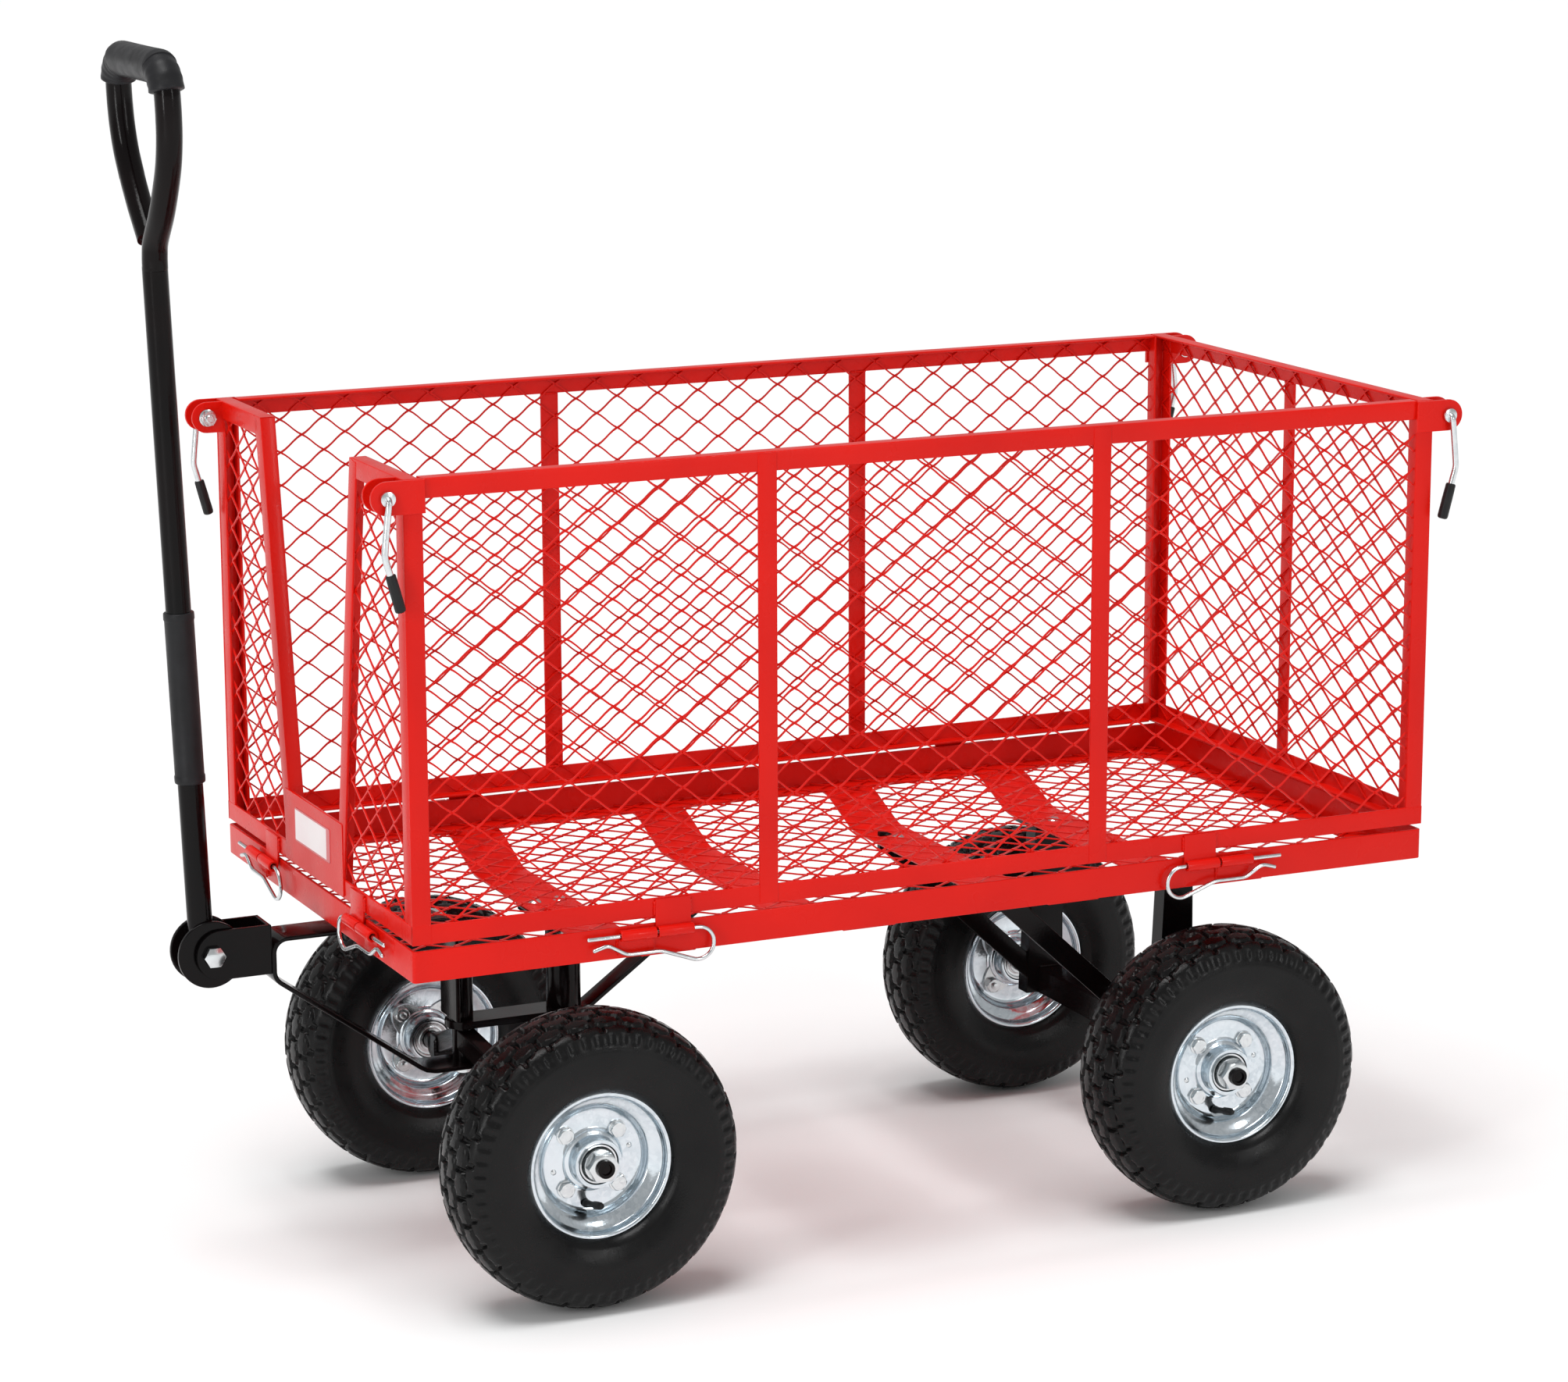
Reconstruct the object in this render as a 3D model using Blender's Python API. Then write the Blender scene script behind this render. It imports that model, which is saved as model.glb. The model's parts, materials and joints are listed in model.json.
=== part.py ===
"""Garden cart: a mesh-sided tray on four pneumatic wheels, with folding sides and a steering handle.

Metres, +Z up. +X points to the cart's rear, the pulling handle stands at -X, and the left side is -Y.
The wheels stand on z = 0. All parts hang on an empty at the tray's centre.
"""
import math

import bmesh
import bpy
from mathutils import Vector

GAP = 0.0003

# Tray and its place
TRAY_CENTRE_X = 0.0587
TRAY_LENGTH = 0.967
TRAY_WIDTH = 0.484
TRAY_TOP = 0.340
RIM_HEIGHT = 0.027
RIM_WALL = 0.003
RIM_LEDGE = 0.026
FLOOR_THICKNESS = 0.002

# Cross straps that dip under the floor
STRAP_X = (-0.255, -0.068, 0.130, 0.295)
STRAP_WIDTH = 0.050
STRAP_THICKNESS = 0.0025
STRAP_DIP = 0.0233
STRAP_OVERLAP = 0.0008
STRAP_FLAT_HALF = 0.155
STRAP_SLOPE_HALF = 0.212

# Wheels
AXLE_FRONT_X = -0.315
AXLE_REAR_X = 0.299
HALF_TRACK = 0.202
TYRE_RADIUS = 0.130
TYRE_HALF_WIDTH = 0.0425
BEAD_RADIUS = 0.0645
TYRE_SEGMENTS = 32
RIM_SEGMENTS = 24
HUB_BORE = 0.0178
AXLE_RADIUS = 0.008
RIM_BOLT_CIRCLE = 0.0335
RIM_WEB_HALF = 0.006

# Folding panels
PANEL_BOTTOM = 0.345
PANEL_TOP = 0.7306
BAR_WIDTH = 0.0165
BAR_WALL = 0.0022
BAR_FLANGE = 0.014
MESH_THICKNESS = 0.0016
SIDE_POSTS = (-0.164, 0.151)
NOTCH_TOP_HALF = 0.115
NOTCH_BOTTOM_HALF = 0.066
NOTCH_PLATE_TOP = 0.410
NOTCH_PLATE_HALF = 0.0755

# Panel hinges: barrels on an axis just outside the tray
HINGE_OFFSET = 0.0065
HINGE_Z = 0.334
BARREL_RADIUS = 0.00475
BARREL_BORE = 0.0027
BARREL_LENGTH = 0.032
BARREL_SPACE = 0.002
SIDE_HINGE_CENTRE = 0.270
END_HINGE_CENTRE = 0.129
CLIP_WIRE_RADIUS = 0.0019

# Corner latches
LATCH_Z = 0.7165
LATCH_RADIUS = 0.014
LATCH_REACH = 0.0145
LATCH_PLATE = 0.003
INNER_TAB_Y = 0.2225
LEVER_Y = 0.2505
LEVER_RADIUS = 0.0028
SLEEVE_RADIUS = 0.0047

# Front axle, kingpin and tongue
KINGPIN_X = -0.351
FORK_WIDTH = 0.040
FORK_THICKNESS = 0.004
FORK_TOP_Z = 0.300
FORK_LOW_Z = 0.1635
FORK_FRONT_X = -0.531
YOKE_BAR_Z = (0.1970, 0.2035)
TUBE_RADIUS = 0.0095
KINGPIN_RADIUS = 0.005
POST_X = -0.255
POST_RADIUS = 0.0155

# Handle
PIVOT_X = -0.583
PIVOT_Z = 0.292
HANDLE_LEAN = math.radians(2.05)
HANDLE_TUBE_RADIUS = 0.0108
DISC_RADIUS = 0.0295
LOOP_HALF_WIDTH = 0.068
LOOP_BASE = 0.600
LOOP_TOP = 0.757

RED = ("red_powder_coat", (0.76, 0.022, 0.012, 1.0), 0.28, 0.0)
BLACK = ("black_paint", (0.012, 0.012, 0.013, 1.0), 0.30, 0.0)
RUBBER = ("tyre_rubber", (0.016, 0.016, 0.017, 1.0), 0.62, 0.0)
SOFT_GRIP = ("soft_grip", (0.045, 0.045, 0.048, 1.0), 0.75, 0.0)
ZINC = ("bright_zinc", (0.72, 0.74, 0.76, 1.0), 0.24, 1.0)


# ---------------------------------------------------------------- basic tools

def clear_scene():
    """Remove every object of the scene."""
    for item in list(bpy.data.objects):
        bpy.data.objects.remove(item, do_unlink=True)


def material(finish):
    """Return the Principled material of one finish, made once."""
    name, colour, roughness, metallic = finish
    found = bpy.data.materials.get(name)
    if found:
        return found
    made = bpy.data.materials.new(name)
    made.use_nodes = True
    shader = made.node_tree.nodes["Principled BSDF"]
    shader.inputs["Base Color"].default_value = colour
    shader.inputs["Roughness"].default_value = roughness
    shader.inputs["Metallic"].default_value = metallic
    made.diffuse_color = colour
    return made


def new_object(name, mesh, finish=None, parent=None):
    """Link a mesh to the scene as a named object."""
    made = bpy.data.objects.new(name, mesh)
    bpy.context.scene.collection.objects.link(made)
    if finish:
        mesh.materials.clear()
        mesh.materials.append(material(finish))
    if parent:
        made.parent = parent
    return made


def mesh_from(verts, faces):
    """Return a mesh with its faces turned outwards."""
    work = bmesh.new()
    made = [work.verts.new(point) for point in verts]
    for face in faces:
        work.faces.new([made[index] for index in face])
    bmesh.ops.recalc_face_normals(work, faces=work.faces)
    mesh = bpy.data.meshes.new("shape")
    work.to_mesh(mesh)
    work.free()
    return mesh


def box(low, high):
    """Return a box between two corners."""
    xs, ys, zs = zip(low, high)
    verts = [(x, y, z) for x in xs for y in ys for z in zs]
    faces = [(0, 1, 3, 2), (4, 6, 7, 5), (0, 4, 5, 1), (2, 3, 7, 6), (0, 2, 6, 4), (1, 5, 7, 3)]
    return mesh_from(verts, faces)


def prism(outline, axis, low, high):
    """Return an outline extruded along an axis; its points hold the two other coordinates in order."""
    def place(point, level):
        values = list(point)
        values.insert("xyz".index(axis), level)
        return tuple(values)

    count = len(outline)
    verts = [place(point, low) for point in outline] + [place(point, high) for point in outline]
    faces = [tuple(range(count)), tuple(range(count, 2 * count))]
    for index in range(count):
        after = (index + 1) % count
        faces.append((index, after, after + count, index + count))
    return mesh_from(verts, faces)


def arc(centre, radius, start, end, steps):
    """Return points on an arc, with angles in degrees."""
    points = []
    for index in range(steps + 1):
        angle = math.radians(start + (end - start) * index / steps)
        points.append((centre[0] + radius * math.cos(angle), centre[1] + radius * math.sin(angle)))
    return points


def turned(profile, centre, axis, segments):
    """Return a closed profile of (along, radius) points turned about an axis through a centre."""
    order = {"x": (0, 1, 2), "y": (1, 2, 0), "z": (2, 0, 1)}[axis]
    verts = []
    for step in range(segments):
        angle = 2 * math.pi * (step + 0.5) / segments
        for along, radius in profile:
            point = [0.0, 0.0, 0.0]
            point[order[0]] = centre[order[0]] + along
            point[order[1]] = centre[order[1]] + radius * math.cos(angle)
            point[order[2]] = centre[order[2]] + radius * math.sin(angle)
            verts.append(tuple(point))
    count = len(profile)
    faces = []
    for step in range(segments):
        here = step * count
        there = ((step + 1) % segments) * count
        for index in range(count):
            after = (index + 1) % count
            faces.append((here + index, here + after, there + after, there + index))
    return mesh_from(verts, faces)


def rod(start, end, radius, sides=16):
    """Return a closed cylinder between two points."""
    return swept([start, end], radius, sides)


def ring(centre, axis, inner, outer, half_length, segments=16):
    """Return a plain ring with a bore, centred on a point."""
    profile = [(-half_length, inner), (half_length, inner), (half_length, outer), (-half_length, outer)]
    return turned(profile, centre, axis, segments)


def swept(points, radius, sides=10):
    """Return a round bar that follows a list of points, with flat ends."""
    path = [Vector(point) for point in points]
    count = len(path)
    tangents = []
    for index in range(count):
        before = path[max(index - 1, 0)]
        after = path[min(index + 1, count - 1)]
        tangents.append((after - before).normalized())
    guide = Vector((0, 0, 1)) if abs(tangents[0].z) < 0.9 else Vector((0, 1, 0))
    normal = (guide - tangents[0] * guide.dot(tangents[0])).normalized()
    verts = []
    for index in range(count):
        tangent = tangents[index]
        normal = (normal - tangent * normal.dot(tangent)).normalized()
        side = tangent.cross(normal)
        stretch = 1.0
        if 0 < index < count - 1:
            leg = (path[index + 1] - path[index]).normalized()
            stretch = 1.0 / max(leg.dot(tangent), 0.5)
        bend = (path[min(index + 1, count - 1)] - path[index]).normalized() - tangent
        bend = bend.normalized() if bend.length > 1e-6 else normal
        for step in range(sides):
            angle = 2 * math.pi * (step + 0.5) / sides
            offset = (normal * math.cos(angle) + side * math.sin(angle)) * radius
            offset += bend * offset.dot(bend) * (stretch - 1.0)
            verts.append(tuple(path[index] + offset))
    faces = [tuple(range(sides)), tuple(range((count - 1) * sides, count * sides))]
    for index in range(count - 1):
        for step in range(sides):
            after = (step + 1) % sides
            low = index * sides
            faces.append((low + step, low + after, low + sides + after, low + sides + step))
    return mesh_from(verts, faces)


def hexagon(centre, axis, across_flats, half_length):
    """Return a hexagonal nut or bolt head."""
    radius = across_flats / math.sqrt(3.0)
    outline = arc((0, 0), radius, 0, 300, 5)
    index = "xyz".index(axis)
    others = [value for place, value in enumerate(centre) if place != index]
    outline = [(u + others[0], v + others[1]) for u, v in outline]
    return prism(outline, axis, centre[index] - half_length, centre[index] + half_length)


def single(name, mesh, finish, parent, smooth=True):
    """Return one object made of one shape."""
    mesh.name = name
    if smooth:
        shade(mesh)
    return new_object(name, mesh, finish, parent)


def shade(mesh):
    """Smooth the round faces and keep the edges."""
    mesh.shade_smooth()
    mesh.set_sharp_from_angle(angle=math.radians(35))


def weld(name, shapes, finish, parent, cuts=(), added=()):
    """Return one object: the union of overlapping shapes, less the cutting shapes, and what is added last."""
    base = new_object("work_base", shapes[0])
    helpers = []
    steps = [("UNION", shape) for shape in shapes[1:]] + [("DIFFERENCE", shape) for shape in cuts]
    steps += [("UNION", shape) for shape in added]
    for operation, shape in steps:
        helper = new_object("work_tool", shape)
        step = base.modifiers.new(operation, "BOOLEAN")
        step.operation = operation
        step.solver = "EXACT"
        step.object = helper
        helpers.append(helper)
    graph = bpy.context.evaluated_depsgraph_get()
    mesh = bpy.data.meshes.new_from_object(base.evaluated_get(graph))
    for helper in helpers + [base]:
        bpy.data.objects.remove(helper, do_unlink=True)
    mesh.name = name
    shade(mesh)
    return new_object(name, mesh, finish, parent)


# ---------------------------------------------------------------- tray

def tray_frame(parent):
    """Angle-iron rim with its cross straps and its eight fixed hinge barrels."""
    half_l = TRAY_LENGTH / 2
    half_w = TRAY_WIDTH / 2
    bottom = TRAY_TOP - RIM_HEIGHT
    shapes = [box((-half_l, -half_w, bottom), (half_l, half_w, TRAY_TOP))]
    wall = RIM_WALL
    ledge = RIM_LEDGE
    inside = box((-half_l + wall, -half_w + wall, bottom + wall), (half_l - wall, half_w - wall, TRAY_TOP + 0.01))
    window = box((-half_l + ledge, -half_w + ledge, bottom - 0.01), (half_l - ledge, half_w - ledge, TRAY_TOP))
    bores = []
    straps = [prism(strap_outline(), "x", x - STRAP_WIDTH / 2, x + STRAP_WIDTH / 2) for x in STRAP_X]
    for edge in EDGES:
        for side in (-1, 1):
            centre = side * (edge.hinge_centre + (BARREL_LENGTH + BARREL_SPACE) / 2)
            shapes += hinge_half(edge, centre, HINGE_Z - 0.018, HINGE_Z)
            bores.append(hinge_bore(edge, centre))
    return weld("tray_frame", shapes, RED, parent, [inside, window] + bores, straps)


def floor_mesh(parent):
    """Expanded-metal floor, as a thin plate on the rim's ledge."""
    half_l = TRAY_LENGTH / 2 - RIM_WALL - 0.001
    half_w = TRAY_WIDTH / 2 - RIM_WALL - 0.001
    low = TRAY_TOP - RIM_HEIGHT + RIM_WALL + GAP
    shape = box((-half_l, -half_w, low), (half_l, half_w, low + FLOOR_THICKNESS))
    return single("floor_mesh", shape, RED, parent, smooth=False)


def strap_outline():
    """Outline of a dipped strap in Y and Z."""
    high = TRAY_TOP - RIM_HEIGHT + STRAP_OVERLAP
    low = high - STRAP_DIP
    end = TRAY_WIDTH / 2 - 0.004
    top = [(-end, high), (-STRAP_SLOPE_HALF, high), (-STRAP_FLAT_HALF, low)]
    top += [(STRAP_FLAT_HALF, low), (STRAP_SLOPE_HALF, high), (end, high)]
    bottom = [(y, z - STRAP_THICKNESS) for y, z in reversed(top)]
    return top + bottom


def strap_underside():
    """Height of the straps' flat underside."""
    return TRAY_TOP - RIM_HEIGHT + STRAP_OVERLAP - STRAP_DIP - STRAP_THICKNESS


# ---------------------------------------------------------------- panels

class Edge:
    """One edge of the tray: its outward direction, the panel on it and its hinge."""

    def __init__(self, name, along, outward, face, hinge_centre):
        self.name = name
        self.along = along
        self.outward = outward
        self.face = face
        self.hinge_centre = hinge_centre

    def place(self, along, depth, height):
        """Turn a place along the edge, a depth inwards and a height into a point."""
        across = self.outward * (self.face - depth)
        return (along, across, height) if self.along == "x" else (across, along, height)

    def box(self, along, depth, height):
        """Return a box from three ranges in the edge's own directions."""
        first = self.place(along[0], depth[0], height[0])
        second = self.place(along[1], depth[1], height[1])
        low = tuple(min(pair) for pair in zip(first, second))
        high = tuple(max(pair) for pair in zip(first, second))
        return box(low, high)

    def plate(self, outline, depth):
        """Return a plate with an outline of (along, height) points and a depth range."""
        levels = sorted((self.outward * (self.face - depth[0]), self.outward * (self.face - depth[1])))
        return prism(outline, "y" if self.along == "x" else "x", levels[0], levels[1])


EDGES = (
    Edge("left", "x", -1, TRAY_WIDTH / 2, SIDE_HINGE_CENTRE),
    Edge("right", "x", 1, TRAY_WIDTH / 2, SIDE_HINGE_CENTRE),
    Edge("front", "y", -1, TRAY_LENGTH / 2, END_HINGE_CENTRE),
    Edge("rear", "y", 1, TRAY_LENGTH / 2, END_HINGE_CENTRE),
)


def hinge_half(edge, centre, low, high, clear=-0.0006):
    """Barrel and the leaf that rises from it, clear of the rim's face or sunk in it."""
    half = BARREL_LENGTH / 2
    start = edge.place(centre - half, -HINGE_OFFSET, HINGE_Z)
    end = edge.place(centre + half, -HINGE_OFFSET, HINGE_Z)
    leaf = edge.box((centre - half, centre + half), (-0.0025, -clear), (low, high))
    return [rod(start, end, BARREL_RADIUS, 14), leaf]


def hinge_bore(edge, centre):
    """Cutter for the pin's hole in a barrel."""
    reach = BARREL_LENGTH / 2 + 0.0009
    start = edge.place(centre - reach, -HINGE_OFFSET, HINGE_Z)
    end = edge.place(centre + reach, -HINGE_OFFSET, HINGE_Z)
    return rod(start, end, BARREL_BORE, 12)


def rails(edge, half, flange_half):
    """Top and bottom angle rails of a panel, between two ends."""
    shapes = []
    for low, high, lip in ((PANEL_BOTTOM, PANEL_BOTTOM + BAR_WIDTH, PANEL_BOTTOM),
                           (PANEL_TOP - BAR_WIDTH, PANEL_TOP, PANEL_TOP - BAR_WALL)):
        shapes.append(edge.box((-half, half), (0, BAR_WALL), (low, high)))
        shapes.append(edge.box((-flange_half, flange_half), (0.0004, BAR_FLANGE), (lip, lip + BAR_WALL)))
    return shapes


def panel_hinges(edge):
    """Panel halves of the two hinges, and the cutters for their bores."""
    shapes = []
    bores = []
    for side in (-1, 1):
        centre = side * (edge.hinge_centre - (BARREL_LENGTH + BARREL_SPACE) / 2)
        shapes += hinge_half(edge, centre, HINGE_Z, PANEL_BOTTOM, GAP)
        half = BARREL_LENGTH / 2
        shapes.append(edge.box((centre - half, centre + half), (-0.0025, 0.0006),
                               (PANEL_BOTTOM - 0.0005, PANEL_BOTTOM + 0.0155)))
        bores.append(hinge_bore(edge, centre))
    return shapes, bores


def side_panel(edge, parent):
    """Long side panel: angle frame, two flat posts, hinge barrels and the outer latch plates."""
    half = TRAY_LENGTH / 2
    inner = half - BAR_WIDTH
    height = (PANEL_BOTTOM + 0.001, PANEL_TOP - 0.001)
    shapes = rails(edge, half, inner)
    for side in (-1, 1):
        post = sorted((side * half, side * inner))
        lip = sorted((side * inner, side * (inner + BAR_WALL)))
        shapes.append(edge.box(post, (0.0, BAR_WALL), height))
        shapes.append(edge.box(lip, (0.0005, BAR_FLANGE - 0.0004), height))
    for x in SIDE_POSTS:
        shapes.append(edge.box((x - 0.0085, x + 0.0085), (-0.0006, BAR_WALL - 0.0003), height))
    hinge_shapes, bores = panel_hinges(edge)
    shapes += hinge_shapes
    for side in (-1, 1):
        shapes.append(edge.plate(outer_latch_outline(side), (-LATCH_PLATE - 0.0005, 0.0007)))
        pin = side * (half + LATCH_REACH)
        start = edge.place(pin, 0.004, LATCH_Z)
        end = edge.place(pin, -0.008, LATCH_Z)
        bores.append(rod(start, end, 0.0042, 12))
    return weld("side_frame_" + edge.name, shapes, RED, parent, bores)


def outer_latch_outline(side):
    """Latch plate on a side panel's corner: a square back and a round tab beyond the corner."""
    half = TRAY_LENGTH / 2
    centre = (half + LATCH_REACH, LATCH_Z)
    points = [(half - 0.018, PANEL_TOP - 0.0006), (half - 0.018, LATCH_Z - LATCH_RADIUS)]
    points += arc(centre, LATCH_RADIUS, -90, 90, 8)
    points[-1] = (centre[0], PANEL_TOP - 0.0006)
    return [(side * x, z) for x, z in points]


def mesh_sheet(edge, outline, name, parent):
    """Expanded-metal sheet of a panel, as a thin plate behind the frame's bars."""
    low = BAR_WALL + GAP
    shape = edge.plate(outline, (low, low + MESH_THICKNESS))
    return single(name, shape, RED, parent, smooth=False)


def rectangle(half, low, high):
    """Return a rectangle as an outline."""
    return [(-half, low), (half, low), (half, high), (-half, high)]


def end_half_width():
    """Half width of an end panel, between the side panels."""
    return TRAY_WIDTH / 2 - BAR_WALL - 0.0005


def end_posts(edge):
    """Corner posts of an end panel with their inner latch tabs."""
    half = end_half_width()
    height = (PANEL_BOTTOM + 0.001, PANEL_TOP - 0.001)
    shapes = []
    bores = []
    for side in (-1, 1):
        post = sorted((side * half, side * (half - BAR_WIDTH)))
        lip = sorted((side * (half - BAR_WALL), side * half))
        shapes.append(edge.box(post, (0.0, BAR_WALL), height))
        shapes.append(edge.box(lip, (0.0005, BAR_FLANGE - 0.0004), height))
        tab = [(-0.0008, LATCH_Z + LATCH_RADIUS), (-0.0008, LATCH_Z - LATCH_RADIUS)]
        tab += arc((LATCH_REACH, LATCH_Z), LATCH_RADIUS, -90, 90, 8)
        outline = [(edge.outward * (edge.face + x), z) for x, z in tab]
        levels = sorted((side * INNER_TAB_Y, side * (INNER_TAB_Y + LATCH_PLATE)))
        shapes.append(prism(outline, "y", levels[0], levels[1]))
        x = edge.outward * (edge.face + LATCH_REACH)
        bores.append(rod((x, side * 0.215, LATCH_Z), (x, side * 0.232, LATCH_Z), 0.0042, 12))
    return shapes, bores


def rear_panel(edge, parent):
    """Rear panel: angle frame with one flat post."""
    half = end_half_width()
    shapes = rails(edge, half, half - 0.0004)
    posts, bores = end_posts(edge)
    hinges, more = panel_hinges(edge)
    height = (PANEL_BOTTOM + 0.001, PANEL_TOP - 0.001)
    middle = edge.box((-0.0085, 0.0085), (-0.0006, BAR_WALL - 0.0003), height)
    return weld("end_frame_rear", shapes + posts + [middle] + hinges, RED, parent, bores + more)


def notch_half(height):
    """Half width of the front panel's notch at a height."""
    share = (height - NOTCH_PLATE_TOP) / (PANEL_TOP - NOTCH_PLATE_TOP)
    return NOTCH_BOTTOM_HALF + (NOTCH_TOP_HALF - NOTCH_BOTTOM_HALF) * share


def front_panel(edge, parent):
    """Front panel: two outer bays, and an open notch for the handle over a low plate."""
    half = end_half_width()
    shapes = [edge.box((-half, half), (0, BAR_WALL), (PANEL_BOTTOM, PANEL_BOTTOM + BAR_WIDTH)),
              edge.box((-half + 0.0004, half - 0.0004), (0.0004, BAR_FLANGE),
                       (PANEL_BOTTOM, PANEL_BOTTOM + BAR_WALL)),
              edge.box((-NOTCH_PLATE_HALF, NOTCH_PLATE_HALF), (-0.0004, BAR_WALL - 0.0003),
                       (PANEL_BOTTOM + 0.002, NOTCH_PLATE_TOP))]
    top = PANEL_TOP - 0.0005
    low = PANEL_BOTTOM + 0.003
    for side in (-1, 1):
        rail = sorted((side * half, side * (NOTCH_TOP_HALF + 0.002)))
        shapes.append(edge.box(rail, (0, BAR_WALL), (PANEL_TOP - BAR_WIDTH, PANEL_TOP)))
        shapes.append(edge.box(rail, (0.0004, BAR_FLANGE), (PANEL_TOP - BAR_WALL, PANEL_TOP)))
        slope = [(notch_half(low), low), (notch_half(low) + BAR_WIDTH, low),
                 (notch_half(top) + BAR_WIDTH, top), (notch_half(top), top)]
        shapes.append(edge.plate([(side * y, z) for y, z in slope], (-0.0006, BAR_WALL - 0.0002)))
        lip = [(notch_half(low), low), (notch_half(low) + BAR_WALL, low),
               (notch_half(top) + BAR_WALL, top), (notch_half(top), top)]
        shapes.append(edge.plate([(side * y, z) for y, z in lip], (0.0006, BAR_FLANGE - 0.0003)))
    posts, bores = end_posts(edge)
    hinges, more = panel_hinges(edge)
    return weld("end_frame_front", shapes + posts + hinges, RED, parent, bores + more)


def front_sheets(edge, parent):
    """Mesh sheets of the front panel, one in each bay."""
    half = end_half_width() - BAR_WALL - 0.0006
    low = PANEL_BOTTOM + BAR_WALL + 0.0006
    high = PANEL_TOP - BAR_WALL - 0.0006
    for side, name in ((-1, "end_mesh_front_left"), (1, "end_mesh_front_right")):
        outline = [(notch_half(low) + BAR_WALL + 0.0015, low), (half, low),
                   (half, high), (notch_half(high) + BAR_WALL + 0.0015, high)]
        mesh_sheet(edge, [(side * y, z) for y, z in outline], name, parent)


def all_panels(parent):
    """Build the four panels on their hinges."""
    left, right, front, rear = EDGES
    low = PANEL_BOTTOM + BAR_WALL + 0.0006
    high = PANEL_TOP - BAR_WALL - 0.0006
    for edge in (left, right):
        side_panel(edge, parent)
        half = TRAY_LENGTH / 2 - BAR_WIDTH - 0.0006
        mesh_sheet(edge, rectangle(half, low, high), "side_mesh_" + edge.name, parent)
    front_panel(front, parent)
    front_sheets(front, parent)
    rear_panel(rear, parent)
    half = end_half_width() - BAR_WALL - 0.0006
    mesh_sheet(rear, rectangle(half, low, high), "end_mesh_rear", parent)


# ---------------------------------------------------------------- clips and latches

def clip_points():
    """Route of an R-clip as (outwards along the pin, drop below it)."""
    points = [(0.063, 0.0), (-0.038, 0.0)]
    points += arc((-0.038, -0.014), 0.014, 90, 292, 8)[1:]
    points += [(-0.004, -0.0165), (0.027, -0.0165), (0.044, -0.0065), (0.058, -0.0105)]
    return points


def spring_clips(parent):
    """Eight R-clips, each the pin of one panel hinge."""
    for edge in EDGES:
        for side, end in ((-1, "a"), (1, "b")):
            route = []
            for out, drop in clip_points():
                along = side * (edge.hinge_centre + out)
                route.append(edge.place(along, -HINGE_OFFSET, HINGE_Z + drop))
            single("clip_%s_%s" % (edge.name, end), swept(route, CLIP_WIRE_RADIUS, 8), ZINC, parent)


def latch_parts(parent):
    """Levers on the side panels, and studs with nuts on the end panels."""
    for edge in EDGES[:2]:
        for side, end in ((-1, "front"), (1, "rear")):
            latch_lever(edge, side, "%s_%s" % (end, edge.name), parent)
    for edge in EDGES[2:]:
        for side, name in ((-1, "left"), (1, "right")):
            latch_stud(edge, side, "%s_%s" % (edge.name, name), parent)


def latch_lever(edge, side, name, parent):
    """Bent zinc lever that hangs from its stub, with a rubber sleeve."""
    pin = side * (TRAY_LENGTH / 2 + LATCH_REACH)

    def at(out, drop, across):
        return (pin + side * out, edge.outward * across, LATCH_Z + drop)

    route = [at(0, 0, 0.2421), at(0, 0, 0.2482), at(0.0003, -0.0012, LEVER_Y - 0.0006),
             at(0.0006, -0.0048, LEVER_Y), at(0.0050, -0.042, LEVER_Y), at(0.0046, -0.0470, LEVER_Y),
             at(-0.0002, -0.0645, LEVER_Y)]
    sleeve = [at(0.0005, -0.0620, LEVER_Y), at(-0.0077, -0.0915, LEVER_Y)]
    weld("latch_lever_" + name, [swept(route, LEVER_RADIUS, 10), swept(sleeve, SLEEVE_RADIUS, 12)], ZINC, parent)


def latch_stud(edge, side, name, parent):
    """Stud through an end panel's tab, with its washer and nut."""
    x = edge.outward * (edge.face + LATCH_REACH)
    stud = rod((x, side * 0.2128, LATCH_Z), (x, side * 0.2412, LATCH_Z), 0.0036, 12)
    nut = hexagon((x, side * (INNER_TAB_Y - 0.0042), LATCH_Z), "y", 0.0125, 0.0028)
    washer_y = INNER_TAB_Y - GAP
    washer = rod((x, side * washer_y, LATCH_Z), (x, side * (washer_y - 0.0015), LATCH_Z), 0.0078, 16)
    weld("latch_stud_" + name, [stud, nut, washer], ZINC, parent)


# ---------------------------------------------------------------- wheels

def tyre_profile():
    """Open C-shaped tyre section as (across, radius)."""
    scale = 1.0 / math.cos(math.pi / TYRE_SEGMENTS)
    outer = [(-0.0300, BEAD_RADIUS), (-0.0385, 0.0760), (-TYRE_HALF_WIDTH, 0.0960), (-0.0395, 0.1165),
             (-0.0270, 0.1270), (0.0, TYRE_RADIUS)]
    outer += [(-y, r) for y, r in reversed(outer[:-1])]
    inner = [(0.0190, BEAD_RADIUS), (0.0300, 0.0850), (0.0315, 0.1080), (0.0, 0.1215)]
    inner += [(-y, r) for y, r in reversed(inner[:-1])]
    return [(y, r * scale) for y, r in outer + inner]


def rim_profile():
    """Split steel rim section: two dished halves, a disc and the bearing hub, as (across, radius)."""
    half = [(0.0, 0.0505), (0.0130, 0.0515), (0.0180, 0.0635), (0.0290, 0.0637), (0.0290, 0.0608),
            (0.0205, 0.0598), (0.0150, 0.0485),
            (RIM_WEB_HALF, 0.0455), (RIM_WEB_HALF, 0.0225),
            (0.0230, 0.0215),
            (0.0230, HUB_BORE)]
    mirror = [(-y, r) for y, r in reversed(half[1:])]
    return half + mirror


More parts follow.
